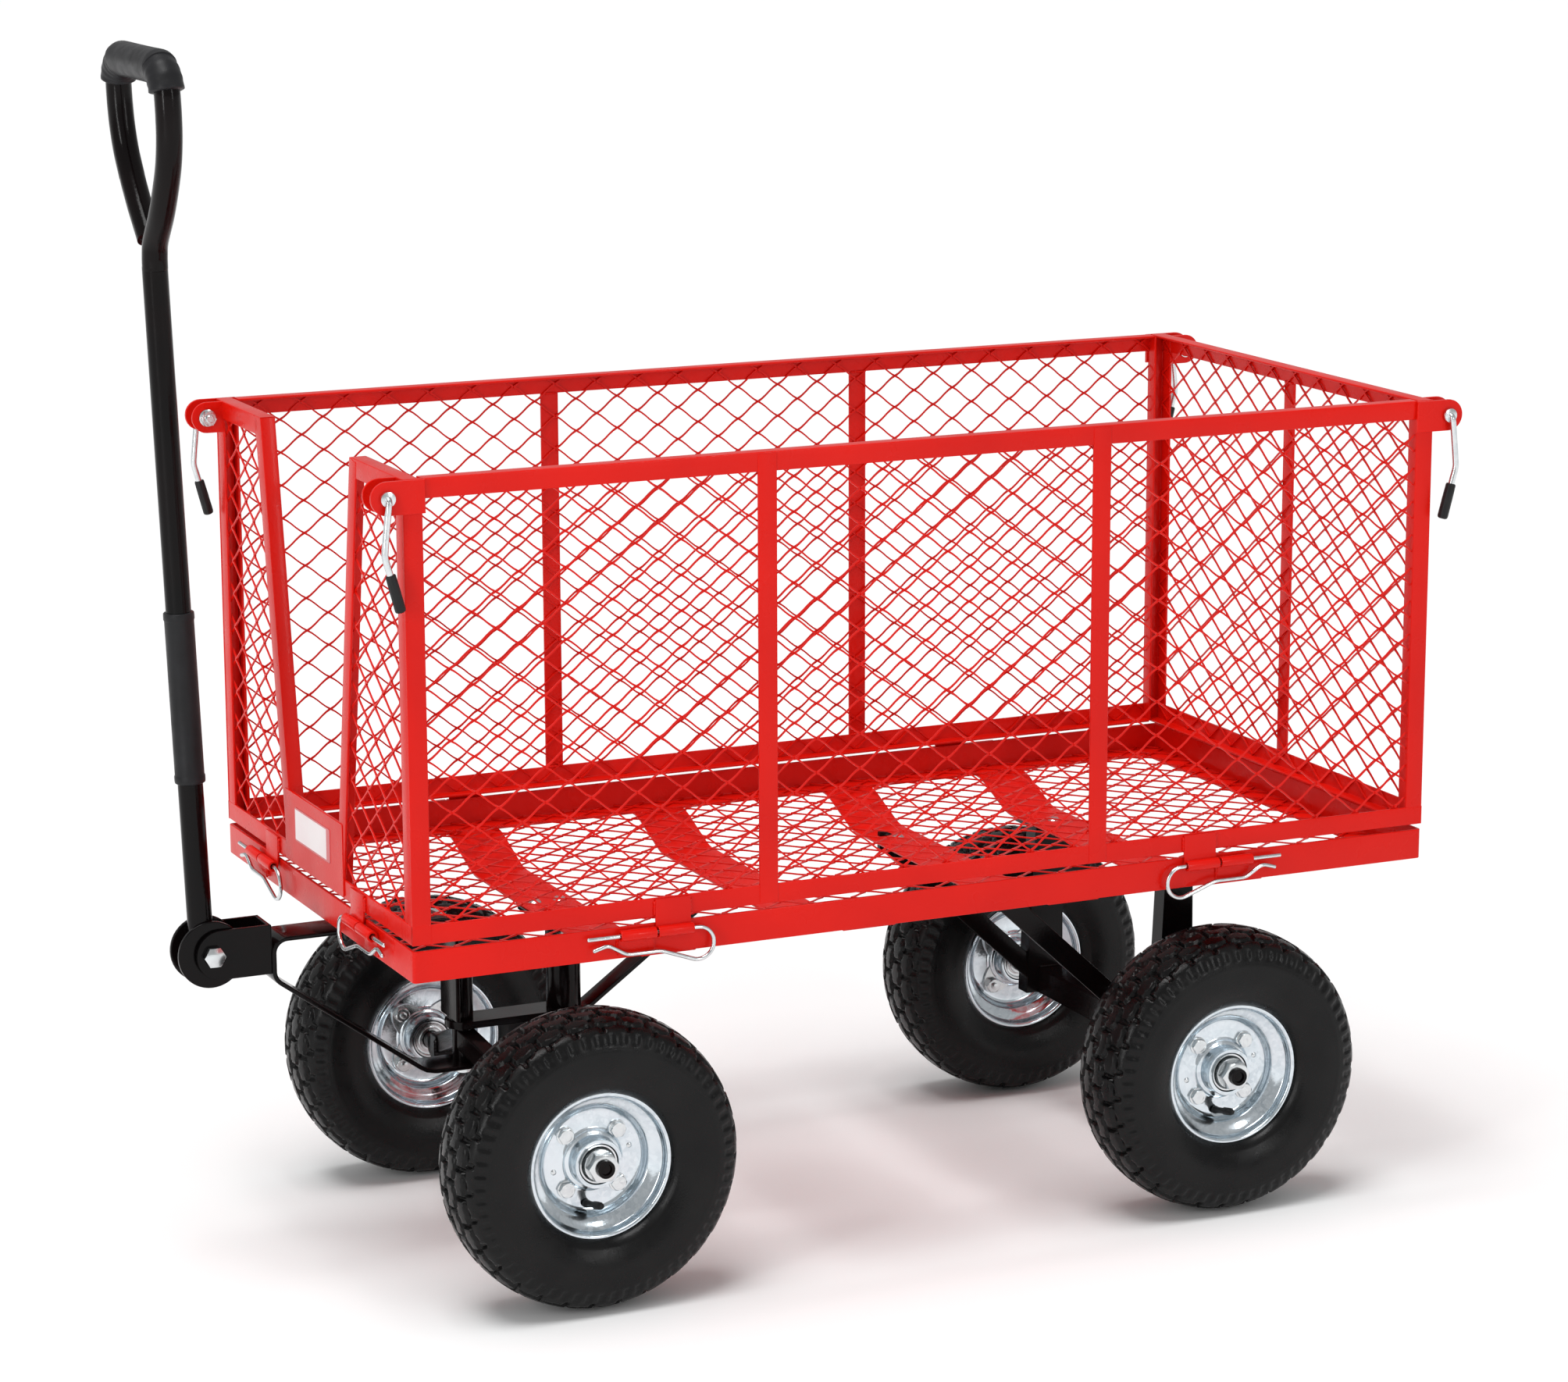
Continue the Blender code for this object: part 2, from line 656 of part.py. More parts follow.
def bearing_profile():
    """Two bearings joined by their spacer tube, as (across, radius)."""
    inner = AXLE_RADIUS + 0.0006
    outer = HUB_BORE - 0.0005
    half = [(0.0220, inner), (0.0220, outer), (0.0110, outer), (0.0110, inner + 0.0026)]
    return half + [(-y, r) for y, r in reversed(half)]


def lobed_outline(x, z):
    """Four-lobed outline of the plate that backs the rim's disc."""
    points = []
    for index in range(32):
        angle = 2 * math.pi * index / 32
        radius = 0.0330 - 0.0085 * math.cos(4 * angle)
        points.append((x + radius * math.cos(angle), z + radius * math.sin(angle)))
    return points


def rim_bolt_spots(x):
    """Centres of a rim's four bolts in X and Z."""
    spots = []
    for index in range(4):
        angle = math.radians(45 + 90 * index)
        spots.append((x + RIM_BOLT_CIRCLE * math.cos(angle), TYRE_RADIUS + RIM_BOLT_CIRCLE * math.sin(angle)))
    return spots


def wheel(name, x, y, parent):
    """One wheel about its axle: tyre, rim with its bolt heads, bearings, back plate and valve."""
    centre = (x, y, TYRE_RADIUS)
    out = 1 if y > 0 else -1
    single("tyre_" + name, turned(tyre_profile(), centre, "y", TYRE_SEGMENTS), RUBBER, parent)
    heads = [hexagon((bolt_x, y + out * 0.0083, bolt_z), "y", 0.0125, 0.0030)
             for bolt_x, bolt_z in rim_bolt_spots(x)]
    weld("rim_" + name, [turned(rim_profile(), centre, "y", RIM_SEGMENTS)] + heads, ZINC, parent)
    single("bearing_" + name, turned(bearing_profile(), centre, "y", 20), ZINC, parent)
    near = y - out * (RIM_WEB_HALF + GAP)
    far = near - out * 0.0020
    plate = prism(lobed_outline(x, TYRE_RADIUS), "y", min(near, far), max(near, far))
    nuts = [hexagon((bolt_x, far - out * 0.0025, bolt_z), "y", 0.0125, 0.0028)
            for bolt_x, bolt_z in rim_bolt_spots(x)]
    bore = rod((x, y - 0.03, TYRE_RADIUS), (x, y + 0.03, TYRE_RADIUS), 0.0236, 24)
    weld("hub_plate_" + name, [plate] + nuts, ZINC, parent, [bore])
    foot = (x - 0.006, y + out * (RIM_WEB_HALF + GAP + 0.0012), TYRE_RADIUS - 0.0385)
    tip = (x - 0.001, y + out * 0.0320, TYRE_RADIUS - 0.0345)
    single("valve_" + name, rod(foot, tip, 0.0036, 10), RUBBER, parent)


def axle_nut(name, x, side, parent):
    """Nut with its washer on an axle end."""
    washer = ring((x, side * (HALF_TRACK + 0.0245), TYRE_RADIUS), "y", 0.0086, 0.0140, 0.0010, 20)
    nut = hexagon((x, side * (HALF_TRACK + 0.0305), TYRE_RADIUS), "y", 0.0240, 0.0055)
    bore = rod((x, side * 0.15, TYRE_RADIUS), (x, side * 0.26, TYRE_RADIUS), AXLE_RADIUS + 0.0006, 20)
    weld(name, [nut, washer], ZINC, parent, [bore])


# ---------------------------------------------------------------- steering

def strip(points, thickness, half_width):
    """Return a flat bar that follows (x, z) points, with a width along Y."""
    path = [Vector(point) for point in points]
    upper = []
    lower = []
    for index, point in enumerate(path):
        before = path[max(index - 1, 0)]
        after = path[min(index + 1, len(path) - 1)]
        first = (point - before).normalized() if index else (after - point).normalized()
        second = (after - point).normalized() if index < len(path) - 1 else first
        normal = Vector((-(first.y + second.y), first.x + second.x)).normalized()
        reach = thickness / 2 / max(normal.dot(Vector((-first.y, first.x))), 0.4)
        upper.append(tuple(point + normal * reach))
        lower.append(tuple(point - normal * reach))
    return prism(upper + lower[::-1], "y", -half_width, half_width)


def fork_path():
    """Centre line of the tongue's flat bar, bent round its front and down at the kingpin."""
    front = FORK_FRONT_X + FORK_THICKNESS / 2
    top = [(KINGPIN_X - TUBE_RADIUS - 0.0015, 0.2060), (KINGPIN_X - TUBE_RADIUS - 0.0015, 0.290),
           (KINGPIN_X - TUBE_RADIUS - 0.0055, 0.2975), (KINGPIN_X - TUBE_RADIUS - 0.013, FORK_TOP_Z)]
    nose = arc((front + 0.012, FORK_TOP_Z - 0.012), 0.012, 90, 180, 3)
    chin = arc((front + 0.014, 0.272), 0.014, 180, 236, 2)
    low = [(-0.394, 0.1675), (-0.382, FORK_LOW_Z), (KINGPIN_X + 0.022, FORK_LOW_Z)]
    return top + nose + chin + low


def front_axle(parent):
    """Steering frame: fork with its clevis, kingpin tubes, splayed legs and stub axles."""
    shapes = [strip(fork_path(), FORK_THICKNESS, FORK_WIDTH / 2)] + clevis()
    bar_low, bar_high = YOKE_BAR_Z
    shapes.append(rod((KINGPIN_X, 0, bar_high + GAP), (KINGPIN_X, 0, 0.2430), TUBE_RADIUS, 20))
    shapes.append(rod((KINGPIN_X, 0, FORK_LOW_Z), (KINGPIN_X, 0, bar_low - GAP), TUBE_RADIUS, 20))
    for side in (-1, 1):
        shapes.append(leg(side))
        block = sorted((side * 0.136, side * 0.150))
        shapes.append(box((AXLE_FRONT_X - 0.012, block[0], 0.117), (AXLE_FRONT_X + 0.012, block[1], 0.1465)))
        shapes.append(rod((AXLE_FRONT_X, side * 0.137, TYRE_RADIUS),
                          (AXLE_FRONT_X, side * (HALF_TRACK + 0.040), TYRE_RADIUS), AXLE_RADIUS, 16))
    bores = [rod((KINGPIN_X, 0, 0.15), (KINGPIN_X, 0, 0.26), KINGPIN_RADIUS + 0.0006, 16),
             rod((PIVOT_X, -0.03, PIVOT_Z), (PIVOT_X, 0.03, PIVOT_Z), KINGPIN_RADIUS + 0.0006, 16)]
    return weld("front_axle", shapes, BLACK, parent, bores)


def leg(side):
    """Square leg from the kingpin down to a wheel."""
    start = Vector((KINGPIN_X, side * 0.002, YOKE_BAR_Z[0] - GAP - 0.0105))
    end = Vector((AXLE_FRONT_X, side * 0.146, 0.1360))
    half_height = 0.0095
    half_depth = 0.008
    verts = []
    for point in (start, end):
        for dx, dz in ((-1, -1), (1, -1), (1, 1), (-1, 1)):
            verts.append((point.x + dx * half_depth, point.y, point.z + dz * half_height))
    faces = [(0, 1, 2, 3), (4, 5, 6, 7), (0, 1, 5, 4), (1, 2, 6, 5), (2, 3, 7, 6), (3, 0, 4, 7)]
    return mesh_from(verts, faces)


def clevis():
    """U-shaped bracket on the front of the fork, round the handle's foot."""
    centre = (PIVOT_X + 0.007, PIVOT_Z)
    back = FORK_FRONT_X + 0.0006
    outline = [(back - 0.0005, PIVOT_Z - 0.022)] + arc(centre, 0.022, -90, -270, 10)
    outline.append((back - 0.0005, PIVOT_Z + 0.022))
    shapes = [box((back - 0.0035, -0.0185, PIVOT_Z - 0.0221), (back, 0.0185, PIVOT_Z + 0.0221))]
    for side in (-1, 1):
        levels = sorted((side * 0.0152, side * 0.0187))
        shapes.append(prism(outline, "y", levels[0], levels[1]))
    return shapes


def kingpin_bolt(parent):
    """Long bolt through the fork, the tubes and the yoke bar, with its washer and nut on top."""
    low = FORK_LOW_Z - FORK_THICKNESS / 2 - GAP
    tube_top = 0.2430
    shapes = [rod((KINGPIN_X, 0, low), (KINGPIN_X, 0, tube_top + 0.0185), KINGPIN_RADIUS, 14),
              hexagon((KINGPIN_X, 0, low - 0.0033), "z", 0.0145, 0.0034),
              rod((KINGPIN_X, 0, tube_top + GAP), (KINGPIN_X, 0, tube_top + 0.0021), 0.0087, 20),
              hexagon((KINGPIN_X, 0, tube_top + 0.0068), "z", 0.0145, 0.0050)]
    weld("kingpin_bolt", shapes, ZINC, parent)


def handle_bolt(parent):
    """Pivot bolt of the handle, across the clevis."""
    reach = 0.0187 + GAP
    shapes = [rod((PIVOT_X, -reach, PIVOT_Z), (PIVOT_X, reach + 0.011, PIVOT_Z), KINGPIN_RADIUS, 14),
              hexagon((PIVOT_X, -reach - 0.0028, PIVOT_Z), "y", 0.0165, 0.0030),
              hexagon((PIVOT_X, reach + 0.0042, PIVOT_Z), "y", 0.0165, 0.0042)]
    weld("handle_bolt", shapes, ZINC, parent)


# ---------------------------------------------------------------- fixed supports

def front_support(parent):
    """Post, yoke bar and brace that carry the kingpin under the tray."""
    under = strap_underside() - GAP
    bar_low, bar_high = YOKE_BAR_Z
    plate = box((POST_X - 0.025, -0.045, under - 0.004), (POST_X + 0.025, 0.045, under))
    post = rod((POST_X, 0, bar_low + 0.001), (POST_X, 0, under - 0.002), POST_RADIUS, 24)
    tip = arc((KINGPIN_X, 0), 0.016, 90, 270, 8)
    bar = prism(tip + [(POST_X + 0.012, -0.016), (POST_X + 0.012, 0.016)], "z", bar_low, bar_high)
    foot_z = bar_low + 0.003
    brace = strip([(POST_X + 0.004, foot_z), (POST_X + 0.020, foot_z + 0.001), (-0.118, under - 0.0022),
                   (-0.046, under - 0.0020)], 0.004, 0.011)
    bore = rod((KINGPIN_X, 0, bar_low - 0.01), (KINGPIN_X, 0, bar_high + 0.01), KINGPIN_RADIUS + 0.0006, 16)
    return weld("front_support", [plate, post, bar, brace], BLACK, parent, [bore])


def rear_axle_frame(parent):
    """Rear axle beam with two tapered uprights, braces and the fixed axle ends."""
    under = strap_underside() - GAP
    upright = [(0.273, 0.118), (0.312, 0.118), (0.310, under - 0.001), (0.281, under - 0.001)]
    shapes = [box((0.286, -0.130, 0.1165), (0.3112, 0.130, 0.1425))]
    brace = [(0.1455, under - 0.0005), (0.1140, under - 0.0005), (0.1140, under - 0.0045),
             (0.1250, under - 0.0045), (0.2765, 0.1240), (0.2850, 0.1560)]
    for side in (-1, 1):
        levels = sorted((side * 0.116, side * 0.134))
        shapes.append(prism(upright, "y", levels[0], levels[1]))
        levels = sorted((side * 0.1185, side * 0.1235))
        shapes.append(prism(brace, "y", levels[0], levels[1]))
        foot = sorted((side * 0.095, side * 0.1225))
        shapes.append(box((0.1145, foot[0], under - 0.0042), (0.1450, foot[1], under)))
        cap = sorted((side * 0.098, side * 0.145))
        shapes.append(box((0.272, cap[0], under - 0.0040), (0.318, cap[1], under)))
        shapes.append(rod((AXLE_REAR_X, side * 0.132, TYRE_RADIUS),
                          (AXLE_REAR_X, side * (HALF_TRACK + 0.040), TYRE_RADIUS), AXLE_RADIUS, 16))
    return weld("rear_axle_frame", shapes, BLACK, parent)


# ---------------------------------------------------------------- handle

def handle_point(along, across=0.0, forward=0.0):
    """Point of the handle: a distance up the shaft, a distance along Y and one forward."""
    lean = HANDLE_LEAN
    x = PIVOT_X - 0.0046 - along * math.sin(lean) - forward
    return (x, across, PIVOT_Z + along * math.cos(lean))


def loop_route():
    """Centre line of the shaft's kink and the D-loop, up each side, as (along, across)."""
    near = [(0.585, 0.0), (LOOP_BASE, -0.002), (LOOP_BASE + 0.012, -0.007), (LOOP_BASE + 0.070, -0.046),
            (LOOP_BASE + 0.084, -0.057), (LOOP_BASE + 0.100, -0.065), (LOOP_BASE + 0.118, -LOOP_HALF_WIDTH)]
    corner = 0.024
    centre = (LOOP_TOP - corner, -(LOOP_HALF_WIDTH - corner))
    bend = [(centre[0] + corner * math.sin(math.radians(angle)), centre[1] - corner * math.cos(math.radians(angle)))
            for angle in (0, 22.5, 45, 67.5, 90)]
    far = [(along, -across) for along, across in reversed(near[3:] + bend)]
    return near + bend, far


def handle(parent):
    """Handle tube with its D-loop and the two foot discs on the pivot."""
    near, far = loop_route()
    shaft = [handle_point(0.0005), handle_point(0.30)]
    route = shaft + [handle_point(along, across) for along, across in near + far]
    strut = [handle_point(LOOP_BASE + 0.078, 0.0523), handle_point(LOOP_BASE + 0.012, 0.0095)]
    shapes = [swept(route, HANDLE_TUBE_RADIUS, 12), swept(strut, HANDLE_TUBE_RADIUS * 0.98, 12)]
    centre = (PIVOT_X, 0, PIVOT_Z)
    shapes.append(rod((PIVOT_X, -0.0100, PIVOT_Z), (PIVOT_X, 0.0100, PIVOT_Z), 0.0150, 24))
    for side in (-1, 1):
        levels = sorted((side * 0.0096, side * 0.0136))
        shapes.append(turned([(levels[0], 0.004), (levels[1], 0.004), (levels[1], DISC_RADIUS),
                              (levels[0], DISC_RADIUS)], centre, "y", 28))
    bore = rod((PIVOT_X, -0.03, PIVOT_Z), (PIVOT_X, 0.03, PIVOT_Z), KINGPIN_RADIUS + 0.0006, 16)
    weld("handle_tube", shapes, BLACK, parent, [bore])
    sleeve_centre = [handle_point(0.150), handle_point(0.298)]
    weld("shaft_sleeve", [swept(sleeve_centre, 0.0132, 16)], SOFT_GRIP, parent,
         [swept([handle_point(0.14), handle_point(0.31)], HANDLE_TUBE_RADIUS + 0.0004, 12)])
    grip_bar = [handle_point(LOOP_TOP, -0.0425), handle_point(LOOP_TOP, 0.0425)]
    bore_bar = [handle_point(LOOP_TOP, -0.06), handle_point(LOOP_TOP, 0.06)]
    weld("top_grip", [swept(grip_bar, 0.0150, 16)], SOFT_GRIP, parent,
         [swept(bore_bar, HANDLE_TUBE_RADIUS + 0.0004, 12)])


# ---------------------------------------------------------------- assembly

def main():
    """Build the cart."""
    clear_scene()
    centre = bpy.data.objects.new("cart_centre", None)
    bpy.context.scene.collection.objects.link(centre)
    centre.location = (TRAY_CENTRE_X, 0, 0)
    tray_frame(centre)
    floor_mesh(centre)
    all_panels(centre)
    spring_clips(centre)
    latch_parts(centre)
    for name, x, y in (("front_left", AXLE_FRONT_X, -HALF_TRACK), ("front_right", AXLE_FRONT_X, HALF_TRACK),
                       ("rear_left", AXLE_REAR_X, -HALF_TRACK), ("rear_right", AXLE_REAR_X, HALF_TRACK)):
        wheel(name, x, y, centre)
    for end, x in (("front", AXLE_FRONT_X), ("rear", AXLE_REAR_X)):
        axle_nut("axle_nut_%s_left" % end, x, -1, centre)
        axle_nut("axle_nut_%s_right" % end, x, 1, centre)
    front_axle(centre)
    kingpin_bolt(centre)
    handle_bolt(centre)
    front_support(centre)
    rear_axle_frame(centre)
    handle(centre)


main()
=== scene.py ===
"""Looks of a mesh-sided garden cart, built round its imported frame.

Metres, +Z up, +X to the cart's rear, and the left side is -Y. Every shape is worked out as whole
arrays: a section carried along a path, or a ring profile turned about an axis.
"""

import json
import logging
import math
from dataclasses import dataclass
from enum import Enum

import bpy
import numpy as np
from mathutils import Matrix, Vector


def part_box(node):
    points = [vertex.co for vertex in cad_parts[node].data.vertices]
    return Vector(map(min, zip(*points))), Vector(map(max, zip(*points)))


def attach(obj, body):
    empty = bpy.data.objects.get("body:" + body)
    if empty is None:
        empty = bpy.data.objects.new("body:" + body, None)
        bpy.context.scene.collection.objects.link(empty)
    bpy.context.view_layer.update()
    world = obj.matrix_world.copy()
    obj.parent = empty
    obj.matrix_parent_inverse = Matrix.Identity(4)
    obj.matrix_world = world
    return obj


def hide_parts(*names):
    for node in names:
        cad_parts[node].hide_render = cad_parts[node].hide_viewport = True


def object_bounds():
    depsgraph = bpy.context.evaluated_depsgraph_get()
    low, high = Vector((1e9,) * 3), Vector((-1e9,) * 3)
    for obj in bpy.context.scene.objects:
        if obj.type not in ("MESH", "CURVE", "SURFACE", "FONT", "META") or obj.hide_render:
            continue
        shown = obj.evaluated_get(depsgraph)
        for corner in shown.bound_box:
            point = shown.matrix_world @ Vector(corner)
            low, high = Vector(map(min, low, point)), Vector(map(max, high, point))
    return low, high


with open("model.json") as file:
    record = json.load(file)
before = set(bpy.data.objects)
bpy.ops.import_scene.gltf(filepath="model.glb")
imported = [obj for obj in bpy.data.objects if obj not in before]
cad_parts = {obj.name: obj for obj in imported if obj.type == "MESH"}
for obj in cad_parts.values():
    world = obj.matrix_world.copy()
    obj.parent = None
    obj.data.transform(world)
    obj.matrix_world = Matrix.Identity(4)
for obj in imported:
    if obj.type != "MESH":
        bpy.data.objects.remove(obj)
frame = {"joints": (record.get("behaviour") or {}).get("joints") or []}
CAD_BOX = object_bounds()
LOG = logging.getLogger("garden_cart")
Array = np.ndarray


# ---------------------------------------------------------------- shapes

@dataclass
class Shell:
    """A closed surface: its points, and blocks of faces that each have one number of corners."""

    points: Array
    faces: list[Array]

    def volume(self) -> float:
        """Return the signed volume, the sum over fan triangles of a . (b x c) / 6."""
        total = 0.0
        for block in self.faces:
            corner = self.points[block]
            for place in range(1, block.shape[1] - 1):
                normal = np.cross(corner[:, place], corner[:, place + 1])
                total += float(np.einsum("ij,ij->", corner[:, 0], normal))
        return total / 6.0

    def outward(self) -> "Shell":
        """Return the shell with its faces turned outwards."""
        if self.volume() < 0:
            self.faces = [block[:, ::-1] for block in self.faces]
        return self


class Axis(Enum):
    """A row axis with the two directions across it: (along, first, second)."""

    X = ((1, 0, 0), (0, 1, 0), (0, 0, 1))
    Y = ((0, 1, 0), (0, 0, 1), (1, 0, 0))
    Z = ((0, 0, 1), (1, 0, 0), (0, 1, 0))

    def spokes(self, segments: int) -> Array:
        """Return unit vectors round the axis: cos(angle) * first + sin(angle) * second."""
        angle = np.linspace(0.0, 2.0 * math.pi, segments, endpoint=False)[:, None]
        _, first, second = (np.array(row, float) for row in self.value)
        return np.cos(angle) * first + np.sin(angle) * second

    @property
    def along(self) -> Array:
        """Return the axis's own direction."""
        return np.array(self.value[0], float)


def ring_faces(rings: int, sides: int, joined: bool) -> Array:
    """Return the quads between neighbouring rings of points.

    Args:
        rings: number of rings.
        sides: points in each ring, which closes on itself.
        joined: whether the last ring meets the first.

    Returns:
        An array of quads.
    """
    row = np.arange(rings if joined else rings - 1)[:, None]
    side = np.arange(sides)[None, :]
    turn = (side + 1) % sides
    after = (row + 1) % rings
    quads = [row * sides + side, row * sides + turn, after * sides + turn, after * sides + side]
    return np.stack(quads, axis=-1).reshape(-1, 4)


def shell_of(rings: Array, joined: bool = False) -> Shell:
    """Return the shell through rings of points, with flat ends unless the rings join up.

    Args:
        rings: points as (ring, side, xyz).
        joined: whether the last ring meets the first.

    Returns:
        The closed shell, facing out.
    """
    count, sides = rings.shape[:2]
    faces = [ring_faces(count, sides, joined)]
    if not joined:
        end = np.arange(sides)[None, :]
        faces += [end[:, ::-1], end + (count - 1) * sides]
    return Shell(rings.reshape(-1, 3), faces).outward()


def unit(vectors: Array) -> Array:
    """Return vectors scaled to a length of one."""
    return vectors / np.maximum(np.linalg.norm(vectors, axis=-1, keepdims=True), 1e-12)


def extrude(section: Array, path: Array, across: Array, upward: Array, grow: Array | float = 1.0) -> Shell:
    """Carry a section along a path: point = path + grow * (u * across + v * upward).

    Args:
        section: closed outline as (u, v) rows.
        path: points along the middle.
        across: direction of u, one for the path or one for each point.
        upward: direction of v.
        grow: scale of the section at each point.

    Returns:
        The closed shell.
    """
    path = np.asarray(path, float)
    across = np.broadcast_to(np.asarray(across, float), path.shape)
    upward = np.broadcast_to(np.asarray(upward, float), path.shape)
    scale = np.broadcast_to(np.asarray(grow, float), (len(path),))[:, None, None]
    flat = section[None, :, 0, None] * across[:, None] + section[None, :, 1, None] * upward[:, None]
    return shell_of(path[:, None] + scale * flat)


def carried(section: Array, path: Array, normal: Array, grow: Array | float = 1.0) -> Shell:
    """Carry a section along a curve that lies about flat: u in its plane and v along its normal.

    Args:
        section: closed outline as (u, v) rows.
        path: points of the curve.
        normal: normal of the curve's plane.
        grow: scale of the section at each point.

    Returns:
        The closed shell.
    """
    path = np.asarray(path, float)
    tangent = unit(np.gradient(path, axis=0))
    across = unit(np.cross(np.broadcast_to(np.asarray(normal, float), path.shape), tangent))
    return extrude(section, path, across, np.cross(tangent, across), grow)


def circle(radius: float, sides: int = 16) -> Array:
    """Return a round section: radius * (cos, sin)."""
    angle = np.linspace(0.0, 2.0 * math.pi, sides, endpoint=False)
    return radius * np.stack([np.cos(angle), np.sin(angle)], axis=-1)


def arc(centre: tuple[float, float], radius: float, start: float, end: float, steps: int) -> Array:
    """Return points of an arc: centre + radius * (cos, sin), over angles in degrees."""
    turn = np.radians(np.linspace(start, end, steps))
    return np.asarray(centre, float) + radius * np.stack([np.cos(turn), np.sin(turn)], axis=-1)


def rounded(corners: Array, radius: float, steps: int = 3, closed: bool = True) -> Array:
    """Round the corners of an outline or a path.

    Each corner c gives way to (1 - t)^2 a + 2 t (1 - t) c + t^2 b, where a and b lie a radius along
    its sides.

    Args:
        corners: the corner points, in two or three dimensions.
        radius: how far from the corner the curve starts.
        steps: spans of each curve.
        closed: whether the last point joins the first.

    Returns:
        The rounded points.
    """
    corners = np.asarray(corners, float)
    before = np.roll(corners, 1, axis=0) - corners
    after = np.roll(corners, -1, axis=0) - corners
    share = np.linspace(0.0, 1.0, steps + 1)[None, :, None]
    start = (corners + unit(before) * radius)[:, None]
    end = (corners + unit(after) * radius)[:, None]
    curves = (1 - share) ** 2 * start + 2 * share * (1 - share) * corners[:, None] + share ** 2 * end
    if closed:
        return curves.reshape(-1, corners.shape[1])
    middle = curves[1:-1].reshape(-1, corners.shape[1])
    return np.vstack([corners[:1], middle, corners[-1:]])


def smooth_curve(knots: Array, steps: int = 8) -> Array:
    """Return a Catmull-Rom curve through the knots.

    On each span p = (2b + (c - a) t + (2a - 5b + 4c - d) t^2 + (3b - a - 3c + d) t^3) / 2.

    Args:
        knots: the points it goes through.
        steps: points on each span.

    Returns:
        The curve's points.
    """
    knots = np.asarray(knots, float)
    held = np.vstack([2 * knots[0] - knots[1], knots, 2 * knots[-1] - knots[-2]])
    a, b, c, d = (held[place:len(held) - 3 + place, None] for place in range(4))
    share = np.linspace(0.0, 1.0, steps, endpoint=False)[None, :, None]
    spans = 2 * b + (c - a) * share + (2 * a - 5 * b + 4 * c - d) * share ** 2
    spans = (spans + (3 * b - a - 3 * c + d) * share ** 3) / 2
    return np.vstack([spans.reshape(-1, knots.shape[1]), knots[-1:]])


def slab_section(width: float, height: float, corner: float) -> Array:
    """Return a rounded rectangle about its centre."""
    u, v = width / 2, height / 2
    return rounded([(-u, -v), (u, -v), (u, v), (-u, v)], corner)


def angle_section(web: float, flange: float, wall: float, corner: float = 0.0008) -> Array:
    """Return an L-shaped section with its outer corner at (0, 0): the web along u and the flange along v."""
    inner = wall * 1.02
    corners = [(0, 0), (web, 0), (web, wall), (inner, wall), (inner, flange), (0, flange)]
    return rounded(corners, corner)


def round_ends(path: Array, radius: float, steps: int = 4) -> tuple[Array, Array]:
    """Round a rod's two ends: the scale falls as sqrt(1 - t^2) over the last radius.

    Args:
        path: the middle line.
        radius: radius of the rod.
        steps: rings in each end.

    Returns:
        The path with its end rings added, and the scale at each point.
    """
    path = np.asarray(path, float)
    share = np.linspace(1.0, 0.0, steps, endpoint=False)[:, None] * 0.99
    first, last = unit(path[0] - path[1]), unit(path[-1] - path[-2])
    start, end = path[0] - first * radius, path[-1] - last * radius
    head, tail = start + first * radius * share, end + last * radius * share
    points = np.vstack([head, start, path[1:-1], end, tail[::-1]])
    fall = np.sqrt(1 - share[:, 0] ** 2)
    return points, np.concatenate([fall, np.ones(len(path)), fall[::-1]])


def rod(path: Array, radius: float, normal: Array, sides: int = 16) -> Shell:
    """Return a round bar with rounded ends along a path that lies about flat."""
    points, grow = round_ends(path, radius * 0.6)
    return carried(circle(radius, sides), points, normal, grow)


def lathe(heights: Array, radii: Array, centre: Array, axis: Axis, segments: int = 48,
          hollow: bool = False) -> Shell:
    """Turn a profile about an axis: point = centre + height * axis + radius * spoke.

    Args:
        heights: place of each ring along the axis, or of each of its points.
        radii: radius of each ring, or of each of its points.
        centre: where height is zero.
        axis: the axis it turns about.
        segments: points in each ring.
        hollow: whether the profile closes on itself, as a ring's does.

    Returns:
        The closed shell.
    """
    heights, radii = np.asarray(heights, float), np.asarray(radii, float)
    if heights.ndim == 1:
        heights = heights[:, None]
    if radii.ndim == 1:
        radii = radii[:, None]
    rings = np.asarray(centre, float) + heights[..., None] * axis.along
    rings = rings + radii[..., None] * axis.spokes(segments)
    return shell_of(rings, hollow)


def disc(centre: Array, axis: Axis, radius: float, low: float, high: float, corner: float,
         bore: float = 0.0) -> Shell:
    """Return a round plate with softened rims, with or without a bore."""
    if bore:
        profile = rounded([(low, bore), (low, radius), (high, radius), (high, bore)], corner)
    else:
        near = 0.3 * corner
        profile = np.array([(low, radius - corner), (low + near, radius - near), (low + corner, radius),
                            (high - corner, radius), (high - near, radius - near), (high, radius - corner)])
    return lathe(profile[:, 0], profile[:, 1], centre, axis, hollow=bool(bore))


